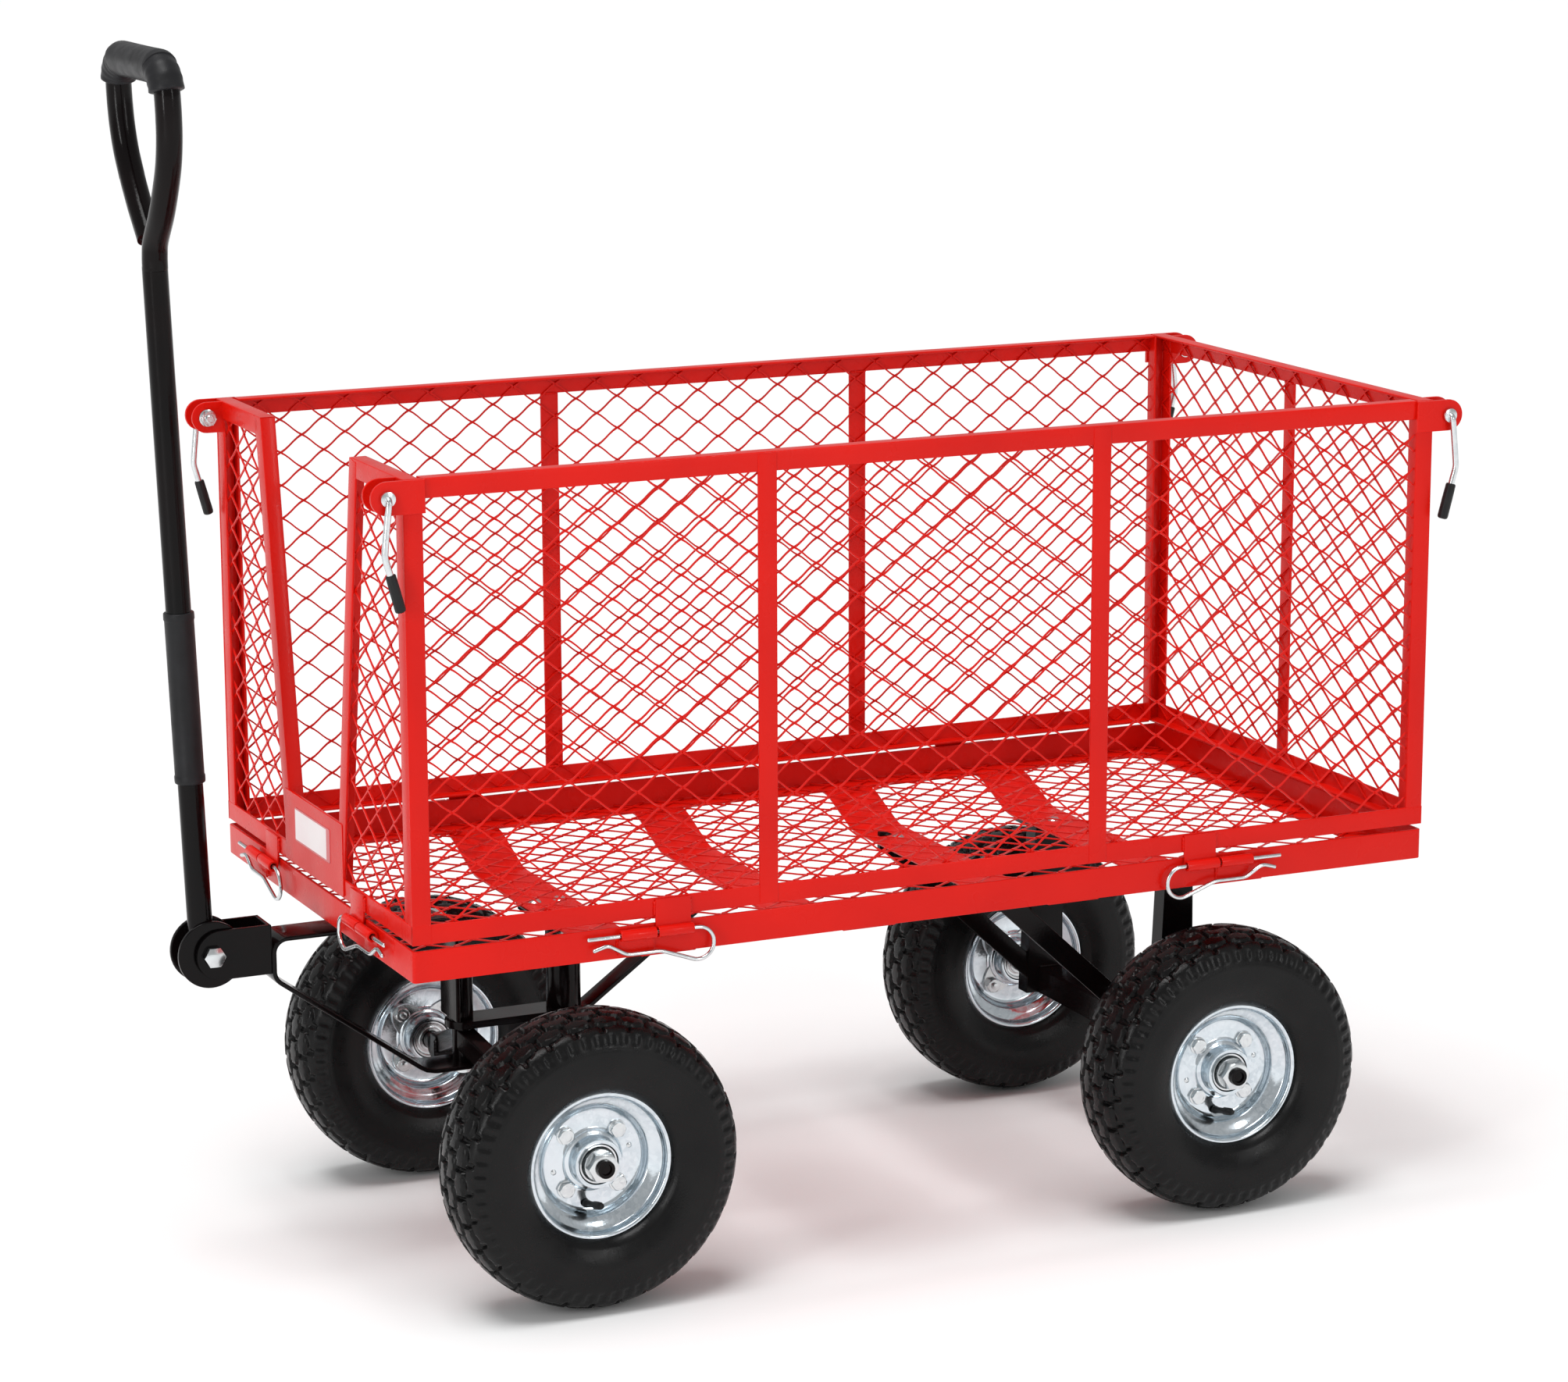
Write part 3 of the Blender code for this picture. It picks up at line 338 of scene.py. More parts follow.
def hexagon(centre: Array, axis: Axis, flats: float, low: float, high: float, bore: float = 0.0) -> Shell:
    """Return a six-sided nut or bolt head whose ends a 30 degree cone cuts.

    On each sixth the radius is half the flats / cos(angle). The cone lowers each end's rim by
    (radius - half the flats) * tan(30 degrees).

    Args:
        centre: where heights are counted from.
        axis: axis of the nut.
        flats: width across flats.
        low: height of one end.
        high: height of the other.
        bore: radius of the hole, or zero for a head.

    Returns:
        The closed shell.
    """
    segments = 48
    angle = np.linspace(0.0, 2.0 * math.pi, segments, endpoint=False)
    sixth = math.pi / 3
    half = flats / 2
    reach = half / np.cos((angle + sixth / 2) % sixth - sixth / 2)
    drop = (reach - half) * math.tan(math.radians(30)) + 0.0001
    flat = np.full(segments, half * 0.985)
    heights = [np.full(segments, low), low + drop, high - drop, np.full(segments, high)]
    radii = [flat, reach, reach, flat]
    if bore:
        inner = np.full(segments, bore)
        heights += [np.full(segments, high), np.full(segments, low)]
        radii += [inner, inner]
    return lathe(np.stack(heights), np.stack(radii), centre, axis, segments, hollow=bool(bore))


def thread(centre: Array, axis: Axis, radius: float, low: float, high: float, pitch: float = 0.0015) -> Shell:
    """Return a threaded end: the radius ripples by a triangle wave along the axis, with a chamfered tip."""
    count = max(4, int(abs(high - low) / pitch) * 4)
    share = np.linspace(0.0, 1.0, count)
    wave = np.abs((share * (count / 4)) % 1.0 - 0.5) * 2.0
    radii = radius * (0.93 + 0.07 * wave)
    tip = np.array([0.86, 0.80]) * radius
    heights = np.concatenate([low + (high - low) * share, [high + np.sign(high - low) * 0.0006]])
    return lathe(heights, np.concatenate([radii, tip[:1]]), centre, axis, 28)


def weld_bead(start: Array, end: Array, radius: float = 0.0017) -> Shell:
    """Return a weld seam: a round bead whose radius ripples as 1 + 0.16 sin and fades at both ends."""
    start, end = np.asarray(start, float), np.asarray(end, float)
    count = max(12, int(np.linalg.norm(end - start) / 0.0007))
    share = np.linspace(0.0, 1.0, count)
    path = start + (end - start) * share[:, None]
    grow = (1 + 0.16 * np.sin(share * count * 1.3)) * np.clip(np.minimum(share, 1 - share) * 12, 0.25, 1.0)
    direction = unit(end - start)
    normal = np.array([0.0, 0.0, 1.0]) if abs(direction[2]) < 0.8 else np.array([0.0, 1.0, 0.0])
    return carried(circle(radius, 8), path, normal, grow)


# ---------------------------------------------------------------- finishes

class Graph:
    """A node tree with short calls that add and join nodes."""

    def __init__(self, tree: bpy.types.NodeTree) -> None:
        """Keep the tree."""
        self.tree = tree

    def add(self, kind: str, settings: dict | None = None, **inputs: object) -> bpy.types.Node:
        """Add a node.

        Args:
            kind: the node's Blender type.
            settings: properties to set on it.
            inputs: input name, with underscores for spaces, to a value or to another node's output.

        Returns:
            The node.
        """
        node = self.tree.nodes.new(kind)
        for key, value in (settings or {}).items():
            setattr(node, key, value)
        for key, value in inputs.items():
            socket = node.inputs[int(key[1:])] if key[1:].isdigit() else node.inputs[key.replace("_", " ")]
            if isinstance(value, bpy.types.NodeSocket):
                self.tree.links.new(value, socket)
            else:
                socket.default_value = value
        return node

    def maths(self, operation: str, first: object, second: object) -> object:
        """Return the output of a two-value Math node."""
        return self.add("ShaderNodeMath", {"operation": operation}, _0=first, _1=second).outputs[0]


def new_group(name: str, inputs: dict[str, float | None],
              outputs: dict[str, str]) -> tuple[bpy.types.NodeTree, Graph]:
    """Start a shader node group.

    Args:
        name: name of the group.
        inputs: input name to its default number, or None for a vector.
        outputs: output name to its socket type.

    Returns:
        The tree and its graph.
    """
    tree = bpy.data.node_groups.new(name, "ShaderNodeTree")
    for key, value in inputs.items():
        kind = "NodeSocketVector" if value is None else "NodeSocketFloat"
        socket = tree.interface.new_socket(key, in_out="INPUT", socket_type=kind)
        if value is not None:
            socket.default_value = value
    for key, kind in outputs.items():
        tree.interface.new_socket(key, in_out="OUTPUT", socket_type=kind)
    return tree, Graph(tree)


def uneven_group() -> bpy.types.NodeTree:
    """Return the group whose Value drifts from Low to High with noise over the surface."""
    found = bpy.data.node_groups.get("uneven")
    if found:
        return found
    tree, graph = new_group("uneven", {"Place": None, "Scale": 10.0, "Detail": 2.0, "Low": 0.0, "High": 1.0},
                            {"Value": "NodeSocketFloat"})
    given = graph.add("NodeGroupInput").outputs
    noise = graph.add("ShaderNodeTexNoise", Vector=given["Place"], Scale=given["Scale"],
                      Detail=given["Detail"])
    spread = graph.add("ShaderNodeMapRange", None, Value=noise.outputs["Fac"], From_Min=0.3, From_Max=0.7,
                       To_Min=given["Low"], To_Max=given["High"])
    graph.add("NodeGroupOutput", Value=spread.outputs["Result"])
    return tree


def dust_group() -> bpy.types.NodeTree:
    """Return the group whose Mask is patchy dust, thickest towards the ground."""
    found = bpy.data.node_groups.get("dust")
    if found:
        return found
    tree, graph = new_group("dust", {"Place": None, "Top": 0.2, "Amount": 0.5}, {"Mask": "NodeSocketFloat"})
    given = graph.add("NodeGroupInput").outputs
    apart = graph.add("ShaderNodeSeparateXYZ", Vector=given["Place"])
    low = graph.add("ShaderNodeMapRange", None, Value=apart.outputs["Z"], From_Min=0.0, From_Max=given["Top"],
                    To_Min=1.0, To_Max=0.15)
    noise = graph.add("ShaderNodeTexNoise", Vector=given["Place"], Scale=38.0, Detail=6.0)
    patch = graph.add("ShaderNodeMapRange", None, Value=noise.outputs["Fac"], From_Min=0.42, From_Max=0.72)
    both = graph.maths("MULTIPLY", low.outputs["Result"], patch.outputs["Result"])
    graph.add("NodeGroupOutput", Mask=graph.maths("MULTIPLY", both, given["Amount"]))
    return tree


def spangle_group() -> bpy.types.NodeTree:
    """Return the group whose Value is one level for each plated crystal."""
    found = bpy.data.node_groups.get("spangle")
    if found:
        return found
    tree, graph = new_group("spangle", {"Place": None, "Scale": 200.0}, {"Value": "NodeSocketFloat"})
    given = graph.add("NodeGroupInput").outputs
    cells = graph.add("ShaderNodeTexVoronoi", {"feature": "F1"}, Vector=given["Place"], Scale=given["Scale"])
    apart = graph.add("ShaderNodeSeparateColor", Color=cells.outputs["Color"])
    graph.add("NodeGroupOutput", Value=apart.outputs["Red"])
    return tree


@dataclass(frozen=True)
class Finish:
    """A coat with slight unevenness in colour and gloss, a fine bump, and some dust."""

    name: str
    slot: str
    colour: tuple[float, float, float]
    shade: tuple[float, float, float]
    patch_scale: float = 14.0
    rough: tuple[float, float] = (0.25, 0.35)
    rough_scale: float = 45.0
    metallic: float = 0.0
    coat: float = 0.0
    coat_rough: float = 0.05
    bump: float = 0.05
    bump_scale: float = 900.0
    dust: float = 0.0
    dust_top: float = 0.3
    spangle: float = 0.0
    specular: float = 0.5

    def material(self) -> bpy.types.Material:
        """Return the finish's material, made once."""
        found = bpy.data.materials.get(self.name)
        return found or self.build()

    def build(self) -> bpy.types.Material:
        """Build the material: groups feed colour, roughness and a bump on one Principled shader."""
        made = bpy.data.materials.new(self.name)
        made.use_nodes = True
        graph = Graph(made.node_tree)
        shader = made.node_tree.nodes["Principled BSDF"]
        place = graph.add("ShaderNodeTexCoord").outputs["Object"]
        shader.inputs["Metallic"].default_value = self.metallic
        shader.inputs["Coat Weight"].default_value = self.coat
        shader.inputs["Coat Roughness"].default_value = self.coat_rough
        shader.inputs["Specular IOR Level"].default_value = self.specular
        patch = self.level(graph, place, self.patch_scale, 3.0, 0.0, 1.0)
        if self.spangle:
            cells = graph.add("ShaderNodeGroup", {"node_tree": spangle_group()}, Place=place,
                              Scale=self.spangle)
            patch = graph.maths("MULTIPLY", patch, cells.outputs["Value"])
        colour = self.mix(graph, patch, (*self.colour, 1.0), (*self.shade, 1.0))
        rough = self.level(graph, place, self.rough_scale, 3.0, *self.rough)
        if self.dust:
            mask = graph.add("ShaderNodeGroup", {"node_tree": dust_group()}, Place=place, Top=self.dust_top,
                             Amount=self.dust).outputs["Mask"]
            colour = self.mix(graph, mask, colour, (0.20, 0.18, 0.16, 1.0))
            both = {"operation": "ADD", "use_clamp": True}
            rough = graph.add("ShaderNodeMath", both, _0=rough, _1=mask).outputs[0]
        made.node_tree.links.new(colour, shader.inputs["Base Color"])
        made.node_tree.links.new(rough, shader.inputs["Roughness"])
        grain = self.level(graph, place, self.bump_scale, 2.0, 0.0, 1.0)
        relief = graph.add("ShaderNodeBump", None, Strength=self.bump, Distance=0.0006, Height=grain)
        made.node_tree.links.new(relief.outputs["Normal"], shader.inputs["Normal"])
        made.diffuse_color = (*self.colour, 1.0)
        return made

    @staticmethod
    def level(graph: Graph, place: object, scale: float, detail: float, low: float, high: float) -> object:
        """Return an output that drifts between two levels over the surface."""
        node = graph.add("ShaderNodeGroup", {"node_tree": uneven_group()}, Place=place, Scale=scale,
                         Detail=detail, Low=low, High=high)
        return node.outputs["Value"]

    @staticmethod
    def mix(graph: Graph, share: object, first: object, second: object) -> object:
        """Return the blend of two colours."""
        node = graph.add("ShaderNodeMix", {"data_type": "RGBA"}, _0=share, _6=first, _7=second)
        return node.outputs[2]


POWDER_COAT = Finish("powder_coat", "red_powder_coat", (0.71, 0.0075, 0.0025), (0.62, 0.0055, 0.002), 9.0,
                     (0.24, 0.36), 30.0, coat=0.06, coat_rough=0.06, bump=0.10, bump_scale=420.0,
                     specular=0.15)
BLACK_GLOSS = Finish("black_gloss", "black_paint", (0.0018, 0.0018, 0.0020), (0.005, 0.0026, 0.0026), 11.0,
                     (0.12, 0.22), 26.0, bump=0.05, bump_scale=380.0, specular=0.14)
TYRE = Finish("tyre_black", "tyre_rubber", (0.0022, 0.0022, 0.0025), (0.005, 0.005, 0.005), 30.0,
              (0.22, 0.36), 60.0, bump=0.10, bump_scale=700.0, dust=0.01, dust_top=0.26, specular=0.20)
VALVE_BLACK = Finish("valve_black", "tyre_rubber", (0.004, 0.004, 0.005), (0.009, 0.009, 0.009), 60.0,
                     (0.40, 0.55), 120.0, bump=0.12, specular=0.30)
FOAM = Finish("foam_black", "soft_grip", (0.009, 0.009, 0.010), (0.015, 0.015, 0.017), 40.0,
              (0.34, 0.48), 90.0, bump=0.14, bump_scale=1500.0, specular=0.22)
ZINC = Finish("zinc_plate", "bright_zinc", (0.70, 0.76, 0.80), (0.50, 0.57, 0.62), 26.0,
              (0.10, 0.22), 50.0, metallic=1.0, bump=0.05, bump_scale=260.0, spangle=320.0)
ZINC_DULL = Finish("zinc_hardware", "bright_zinc", (0.70, 0.73, 0.74), (0.56, 0.59, 0.61), 120.0,
                   (0.16, 0.26), 160.0, metallic=1.0, bump=0.03, bump_scale=600.0, spangle=300.0)


@dataclass(frozen=True)
class LabelFinish(Finish):
    """A plain two-tone label: a white field, a tinted band at one end and a tinted border."""

    centre: tuple[float, float, float] = (0.0, 0.0, 0.0)
    half_width: float = 0.028
    half_height: float = 0.012
    border: float = 0.0016
    band_start: float = 0.037

    def build(self) -> bpy.types.Material:
        """Build the coat, then lay the label's fields over its colour by distance from its centre."""
        made = super().build()
        graph = Graph(made.node_tree)
        shader = made.node_tree.nodes["Principled BSDF"]
        coat = shader.inputs["Base Color"].links[0].from_socket
        place = graph.add("ShaderNodeTexCoord").outputs["Object"]
        moved = graph.add("ShaderNodeMapping", None, Vector=place, Location=[-value for value in self.centre])
        apart = graph.add("ShaderNodeSeparateXYZ", Vector=moved.outputs[0])
        wide = graph.add("ShaderNodeMath", {"operation": "ABSOLUTE"}, _0=apart.outputs["Y"]).outputs[0]
        tall = graph.add("ShaderNodeMath", {"operation": "ABSOLUTE"}, _0=apart.outputs["Z"]).outputs[0]
        edge_y = graph.maths("GREATER_THAN", wide, self.half_width - self.border)
        edge_z = graph.maths("GREATER_THAN", tall, self.half_height - self.border)
        band = graph.maths("LESS_THAN", apart.outputs["Y"], -self.band_start)
        marks = graph.maths("MAXIMUM", graph.maths("MAXIMUM", edge_y, edge_z), band)
        colour = self.mix(graph, marks, coat, (0.62, 0.12, 0.13, 1.0))
        made.node_tree.links.new(colour, shader.inputs["Base Color"])
        return made


# ---------------------------------------------------------------- places

@dataclass(frozen=True)
class Layout:
    """Driving places of the cart, read from its frame."""

    centre_x: float
    half_length: float
    half_width: float
    rim_top: float
    floor_low: float
    floor_top: float
    panel_low: float
    panel_high: float
    hinge_z: float
    hinge_out: float

    @classmethod
    def from_frame(cls) -> "Layout":
        """Read the layout from the floor, a mesh sheet and the panel joints."""
        low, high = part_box("floor_mesh")
        sheet_low, sheet_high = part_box("side_mesh_left")
        joint = joint_named("panel_left_fold")["pos_m"]
        half_width = (high.y - low.y) / 2 + RIM_WALL + 0.001
        return cls((low.x + high.x) / 2, (high.x - low.x) / 2 + RIM_WALL + 0.001, half_width,
                   high.z + 0.0217, low.z, high.z,
                   sheet_low.z - BAR_WALL - SHEET_CLEAR, sheet_high.z + BAR_WALL + SHEET_CLEAR,
                   joint[2], abs(joint[1]) - half_width)

    def shift(self, rows: Array) -> Array:
        """Move points from the tray's middle to the cart's frame."""
        return np.asarray(rows, float) + (self.centre_x, 0.0, 0.0)


RIM_WALL = 0.003
BAR_WALL = 0.0022
BAR_WIDTH = 0.0165
BAR_FLANGE = 0.014
SHEET_DEPTH = 0.0034
SHEET_CLEAR = 0.0006


def joint_named(name: str) -> dict:
    """Return one joint of the record."""
    return next(joint for joint in frame["joints"] if joint["name"] == name)


@dataclass(frozen=True)
class Edge:
    """One edge of the tray, with its own directions: along it, inwards and up."""

    name: str
    along: Axis
    outward: int
    face: float
    half: float
    hinge_centre: float
    centre_x: float

    def place(self, along: Array | float, depth: Array | float, height: Array | float) -> Array:
        """Turn places along the edge, depths inwards from its face and heights into points."""
        across = self.outward * (self.face - np.asarray(depth, float))
        first, second = (along, across) if self.along is Axis.X else (across, along)
        first = np.asarray(first, float) + self.centre_x
        return np.stack(np.broadcast_arrays(first, second, height), axis=-1)

    @property
    def run(self) -> Array:
        """Return the direction along the edge."""
        return self.along.along

    @property
    def facing(self) -> float:
        """Return one where run x up points inwards, and minus one where it points out."""
        return float(np.dot(np.cross(self.run, Axis.Z.along), self.inward))

    @property
    def inward(self) -> Array:
        """Return the direction towards the middle of the tray."""
        return (Axis.Y if self.along is Axis.X else Axis.X).along * -self.outward


def make_piece(name: str, shells: list[Shell], finish: Finish, body: str, stands_for: tuple[str, ...] = (),
               sharp: float = 38.0) -> bpy.types.Object:
    """Make one finished piece: its mesh, its finish, the body it rides on and the nodes it stands for.

    Args:
        name: name of the piece.
        shells: its closed surfaces.
        finish: its finish.
        body: the body it moves with.
        stands_for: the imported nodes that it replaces.
        sharp: angle in degrees from which an edge stays sharp.

    Returns:
        The piece's object.
    """
    mesh = bpy.data.meshes.new(name)
    offsets = np.cumsum([0] + [len(shell.points) for shell in shells])
    points = np.concatenate([shell.points for shell in shells])
    blocks = [block + offset for shell, offset in zip(shells, offsets) for block in shell.faces]
    faces = [row for block in blocks for row in block.tolist()]
    mesh.from_pydata(points.tolist(), [], faces)
    mesh.shade_smooth()
    mesh.set_sharp_from_angle(angle=math.radians(sharp))
    mesh.materials.append(finish.material())
    made = bpy.data.objects.new(name, mesh)
    bpy.context.scene.collection.objects.link(made)
    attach(made, body)
    if stands_for:
        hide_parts(*stands_for)
    LOG.info("%s: %d points on %s", name, len(points), body)
    return made


def plate(outline: Array, origin: Array, first: Array, second: Array, depth: tuple[float, float],
          soft: float = 0.0005) -> Shell:
    """Return a flat plate with softened rims: the outline shrinks by a soft edge at both faces.

    Args:
        outline: closed outline as (u, v) rows.
        origin: where (0, 0) is.
        first: direction of u.
        second: direction of v.
        depth: the two faces, along first x second.
        soft: width of the softened rim.

    Returns:
        The closed shell.
    """
    outline = np.asarray(outline, float)
    middle = outline.mean(axis=0)
    size = float(np.abs(outline - middle).max())
    normal = np.cross(first, second)
    low, high = depth
    levels = np.array([low, low + soft, high - soft, high])[:, None]
    path = np.asarray(origin, float) + levels * normal
    grow = 1 - np.array([1.0, 0.0, 0.0, 1.0]) * soft / size
    start = path + (middle[0] * np.asarray(first) + middle[1] * np.asarray(second))
    return extrude(outline - middle, start, first, second, grow)


# ---------------------------------------------------------------- expanded metal

@dataclass(frozen=True)
class ExpandedMetal:
    """A sheet of diamonds: strands that cross half a diamond each way between their bonds."""

    long_way: float = 0.041
    short_way: float = 0.030
    strand_width: float = 0.0014
    strand_depth: float = 0.0013
    lift: float = 0.0005
    bond: float = 0.22

    def strands(self, low: Array, high: Array) -> tuple[Array, Array]:
        """Return each strand's two ends in the sheet's plane, over a rectangle.

        Bonds lie at (i, j) and at (i + 1/2, j + 1/2) of the diamonds' pitch, and from each a strand
        rises to the right and one to the left.

        Args:
            low: lowest corner.
            high: highest corner.

        Returns:
            Starts and ends, as (n, 2).
        """
        pitch = np.array([self.long_way, self.short_way])
        count = np.ceil((high - low) / pitch).astype(int) + 2
        columns, rows = np.meshgrid(np.arange(-1, count[0]), np.arange(-1, count[1]))
        whole = np.stack([columns.ravel(), rows.ravel()], axis=-1).astype(float)
        bonds = np.vstack([whole, whole + 0.5])
        starts = np.vstack([bonds, bonds])
        rise = np.vstack([np.tile([0.5, 0.5], (len(bonds), 1)), np.tile([-0.5, 0.5], (len(bonds), 1))])
        return low + starts * pitch, low + (starts + rise) * pitch

    def clip(self, starts: Array, ends: Array, sides: Array) -> tuple[Array, Array, Array, Array]:
        """Cut strands to a convex outline.

        Each side is (a, b, c), and a point is inside where a u + b v <= c. Along a strand that is a
        straight test, so each side moves the first or the last share that is kept.

        Args:
            starts: first ends.
            ends: last ends.
            sides: rows of (a, b, c).

        Returns:
            The starts and ends kept, and the first and last share of each strand.
        """
        first = np.zeros(len(starts))
        last = np.ones(len(starts))
        for a, b, c in sides:
            at_start = starts @ (a, b) - c
            at_end = ends @ (a, b) - c
            step = at_end - at_start
            crossing = -at_start / np.where(np.abs(step) < 1e-12, 1e-12, step)
            last = np.where((step > 0), np.minimum(last, crossing), last)
            first = np.where((step < 0), np.maximum(first, crossing), first)
            gone = (np.abs(step) < 1e-12) & (at_start > 0)
            last = np.where(gone, -1.0, last)
        kept = last - first > 0.04
        return starts[kept], ends[kept], first[kept], last[kept]

    def sheet(self, low: Array, high: Array, sides: Array, origin: Array, first: Array, second: Array,
              rings: int = 6) -> Shell:
        """Return a whole sheet.

        A strand's middle is start + (end - start) * t along the sheet, but its rise follows
        t - bond * sin(2 pi t) / (2 pi), so that it leaves a bond flatter, and it lifts by cos(pi t) out
        of the plane.

        Args:
            low: lowest corner of the lattice, in the sheet's plane.
            high: highest corner.
            sides: the outline's sides, as clip takes them.
            origin: where (0, 0) is.
            first: direction of u.
            second: direction of v.
            rings: rings along each strand.

        Returns:
            The strands as one shell.
        """
        starts, ends, begin, finish = self.clip(*self.strands(low, high), sides)
        share = begin[:, None] + (finish - begin)[:, None] * np.linspace(0.0, 1.0, rings)[None, :]
        eased = share - self.bond * np.sin(2 * math.pi * share) / (2 * math.pi)
        span = ends - starts
        u = starts[:, None, 0] + span[:, None, 0] * share
        v = starts[:, None, 1] + span[:, None, 1] * eased
        slope = span[:, None, 1] * (1 - self.bond * np.cos(2 * math.pi * share)) / span[:, None, 0]
        side = unit(np.stack([-slope, np.ones_like(slope)], axis=-1))
        swell = 1.0 + 0.30 * np.abs(np.cos(math.pi * share)) ** 6
        lift = self.lift * np.cos(math.pi * share) * np.sign(span[:, None, 0])
        corners = np.array([(-0.5, -0.5), (0.5, -0.5), (0.5, 0.5), (-0.5, 0.5)])
        wide = corners[:, 0] * self.strand_width
        deep = corners[:, 1] * self.strand_depth
        plane_u = u[..., None] + side[..., 0, None] * wide * swell[..., None]
        plane_v = v[..., None] + side[..., 1, None] * wide * swell[..., None]
        out = lift[..., None] + deep * swell[..., None]
        normal = np.cross(first, second)
        points = origin + plane_u[..., None] * first + plane_v[..., None] * second + out[..., None] * normal
        count = len(u)
        quads = ring_faces(rings, 4, False)
        caps = np.array([[3, 2, 1, 0], [rings * 4 - 4, rings * 4 - 3, rings * 4 - 2, rings * 4 - 1]])
        block = np.vstack([quads, caps])
        faces = (np.arange(count)[:, None, None] * rings * 4 + block[None]).reshape(-1, 4)
        return Shell(points.reshape(-1, 3), [faces]).outward()


# ---------------------------------------------------------------- tray

@dataclass(frozen=True)
class Strap:
    """The dipped cross straps' sizes."""

    places: tuple[float, ...] = (-0.255, -0.068, 0.130, 0.295)
    width: float = 0.050
    thickness: float = 0.0025
    dip: float = 0.0233
    flat_half: float = 0.155
    slope_half: float = 0.212


@dataclass(frozen=True)
class Tray:
    """The angle-iron rim, its floor, its cross straps and the fixed halves of eight hinges."""

    layout: Layout
    edges: tuple[Edge, ...]
    strap: Strap = Strap()
    height: float = 0.027
    ledge: float = 0.026
    corner: float = 0.0035

    def rim(self) -> Shell:
        """Return the rim: an L-section led round the tray with a small arc at each corner."""
        top = self.layout.rim_top
        low = top - self.height
        step = low + RIM_WALL
        outline = [(0, low), (0, top), (RIM_WALL, top), (RIM_WALL, step), (self.ledge, step),
                   (self.ledge, low)]
        section = rounded(outline, 0.0009)
        depth, level = section[:, 0], section[:, 1]
        angle = np.linspace(0.0, math.pi / 2, 5)[None, :] + np.arange(4)[:, None] * math.pi / 2
        turn = angle.reshape(-1, 1)
        side_x = np.repeat([1, -1, -1, 1], 5)[:, None]
        side_y = np.repeat([1, 1, -1, -1], 5)[:, None]
        inset = np.maximum(depth, self.corner)
        radius = np.maximum(self.corner - depth, 0.00015)
        x = side_x * (self.layout.half_length - inset) + radius * np.cos(turn)
        y = side_y * (self.layout.half_width - inset) + radius * np.sin(turn)
        points = np.stack([x + self.layout.centre_x, y, np.broadcast_to(level, x.shape)], axis=-1)
        return shell_of(points, joined=True)

    def cross_straps(self) -> list[Shell]:
        """Return the straps, each a flat bar that dips towards the middle."""
        strap = self.strap
        high = self.layout.rim_top - self.height - 0.0005
        low = high - strap.dip
        end = self.layout.half_width - 0.004
        line = [(-end, high), (-strap.slope_half, high), (-strap.flat_half, low), (strap.flat_half, low),
                (strap.slope_half, high), (end, high)]
        line = rounded(line, 0.010, 5, closed=False)
        section = slab_section(strap.thickness, strap.width, 0.0008)
        shells = []
        for place in strap.places:
            path = np.column_stack([np.full(len(line), place + self.layout.centre_x), line])
            shells.append(carried(section, path, (1, 0, 0)))
        return shells

    def beads(self) -> list[Shell]:
        """Return the weld seams under the rim, one on each side of every strap end."""
        shells = []
        level = self.layout.rim_top - self.height - 0.0002
        for place in self.strap.places:
            for side in (-1, 1):
                y = side * (self.layout.half_width - 0.0262)
                x = place + self.layout.centre_x
                shells.append(weld_bead((x - 0.022, y, level), (x + 0.022, y, level), 0.0016))
        return shells

    def build(self) -> None:
        """Make the tray's pieces."""
        make_piece("tray_rim", [self.rim()], POWDER_COAT, "tray", ("tray_frame",))
        make_piece("tray_straps", self.cross_straps() + self.beads(), POWDER_COAT, "tray")
        knuckles = [shell for edge in self.edges for side in (-1, 1) for shell in
                    Hinge(self.layout).half(edge, side * (edge.hinge_centre + 0.017), rising=False)]
        make_piece("tray_hinges", knuckles, POWDER_COAT, "tray")
        half = np.array([self.layout.half_length, self.layout.half_width]) - RIM_WALL - 0.001
        sides = np.array([(1, 0, half[0]), (-1, 0, half[0]), (0, 1, half[1]), (0, -1, half[1])])
        middle = np.array([self.layout.centre_x, 0.0, (self.layout.floor_low + self.layout.floor_top) / 2])
        metal = ExpandedMetal(strand_depth=0.0012, lift=0.0004)
        sheet = metal.sheet(-half, half, sides, middle, Axis.X.along, Axis.Y.along)
        make_piece("floor_strands", [sheet], POWDER_COAT, "tray", ("floor_mesh",), 60)


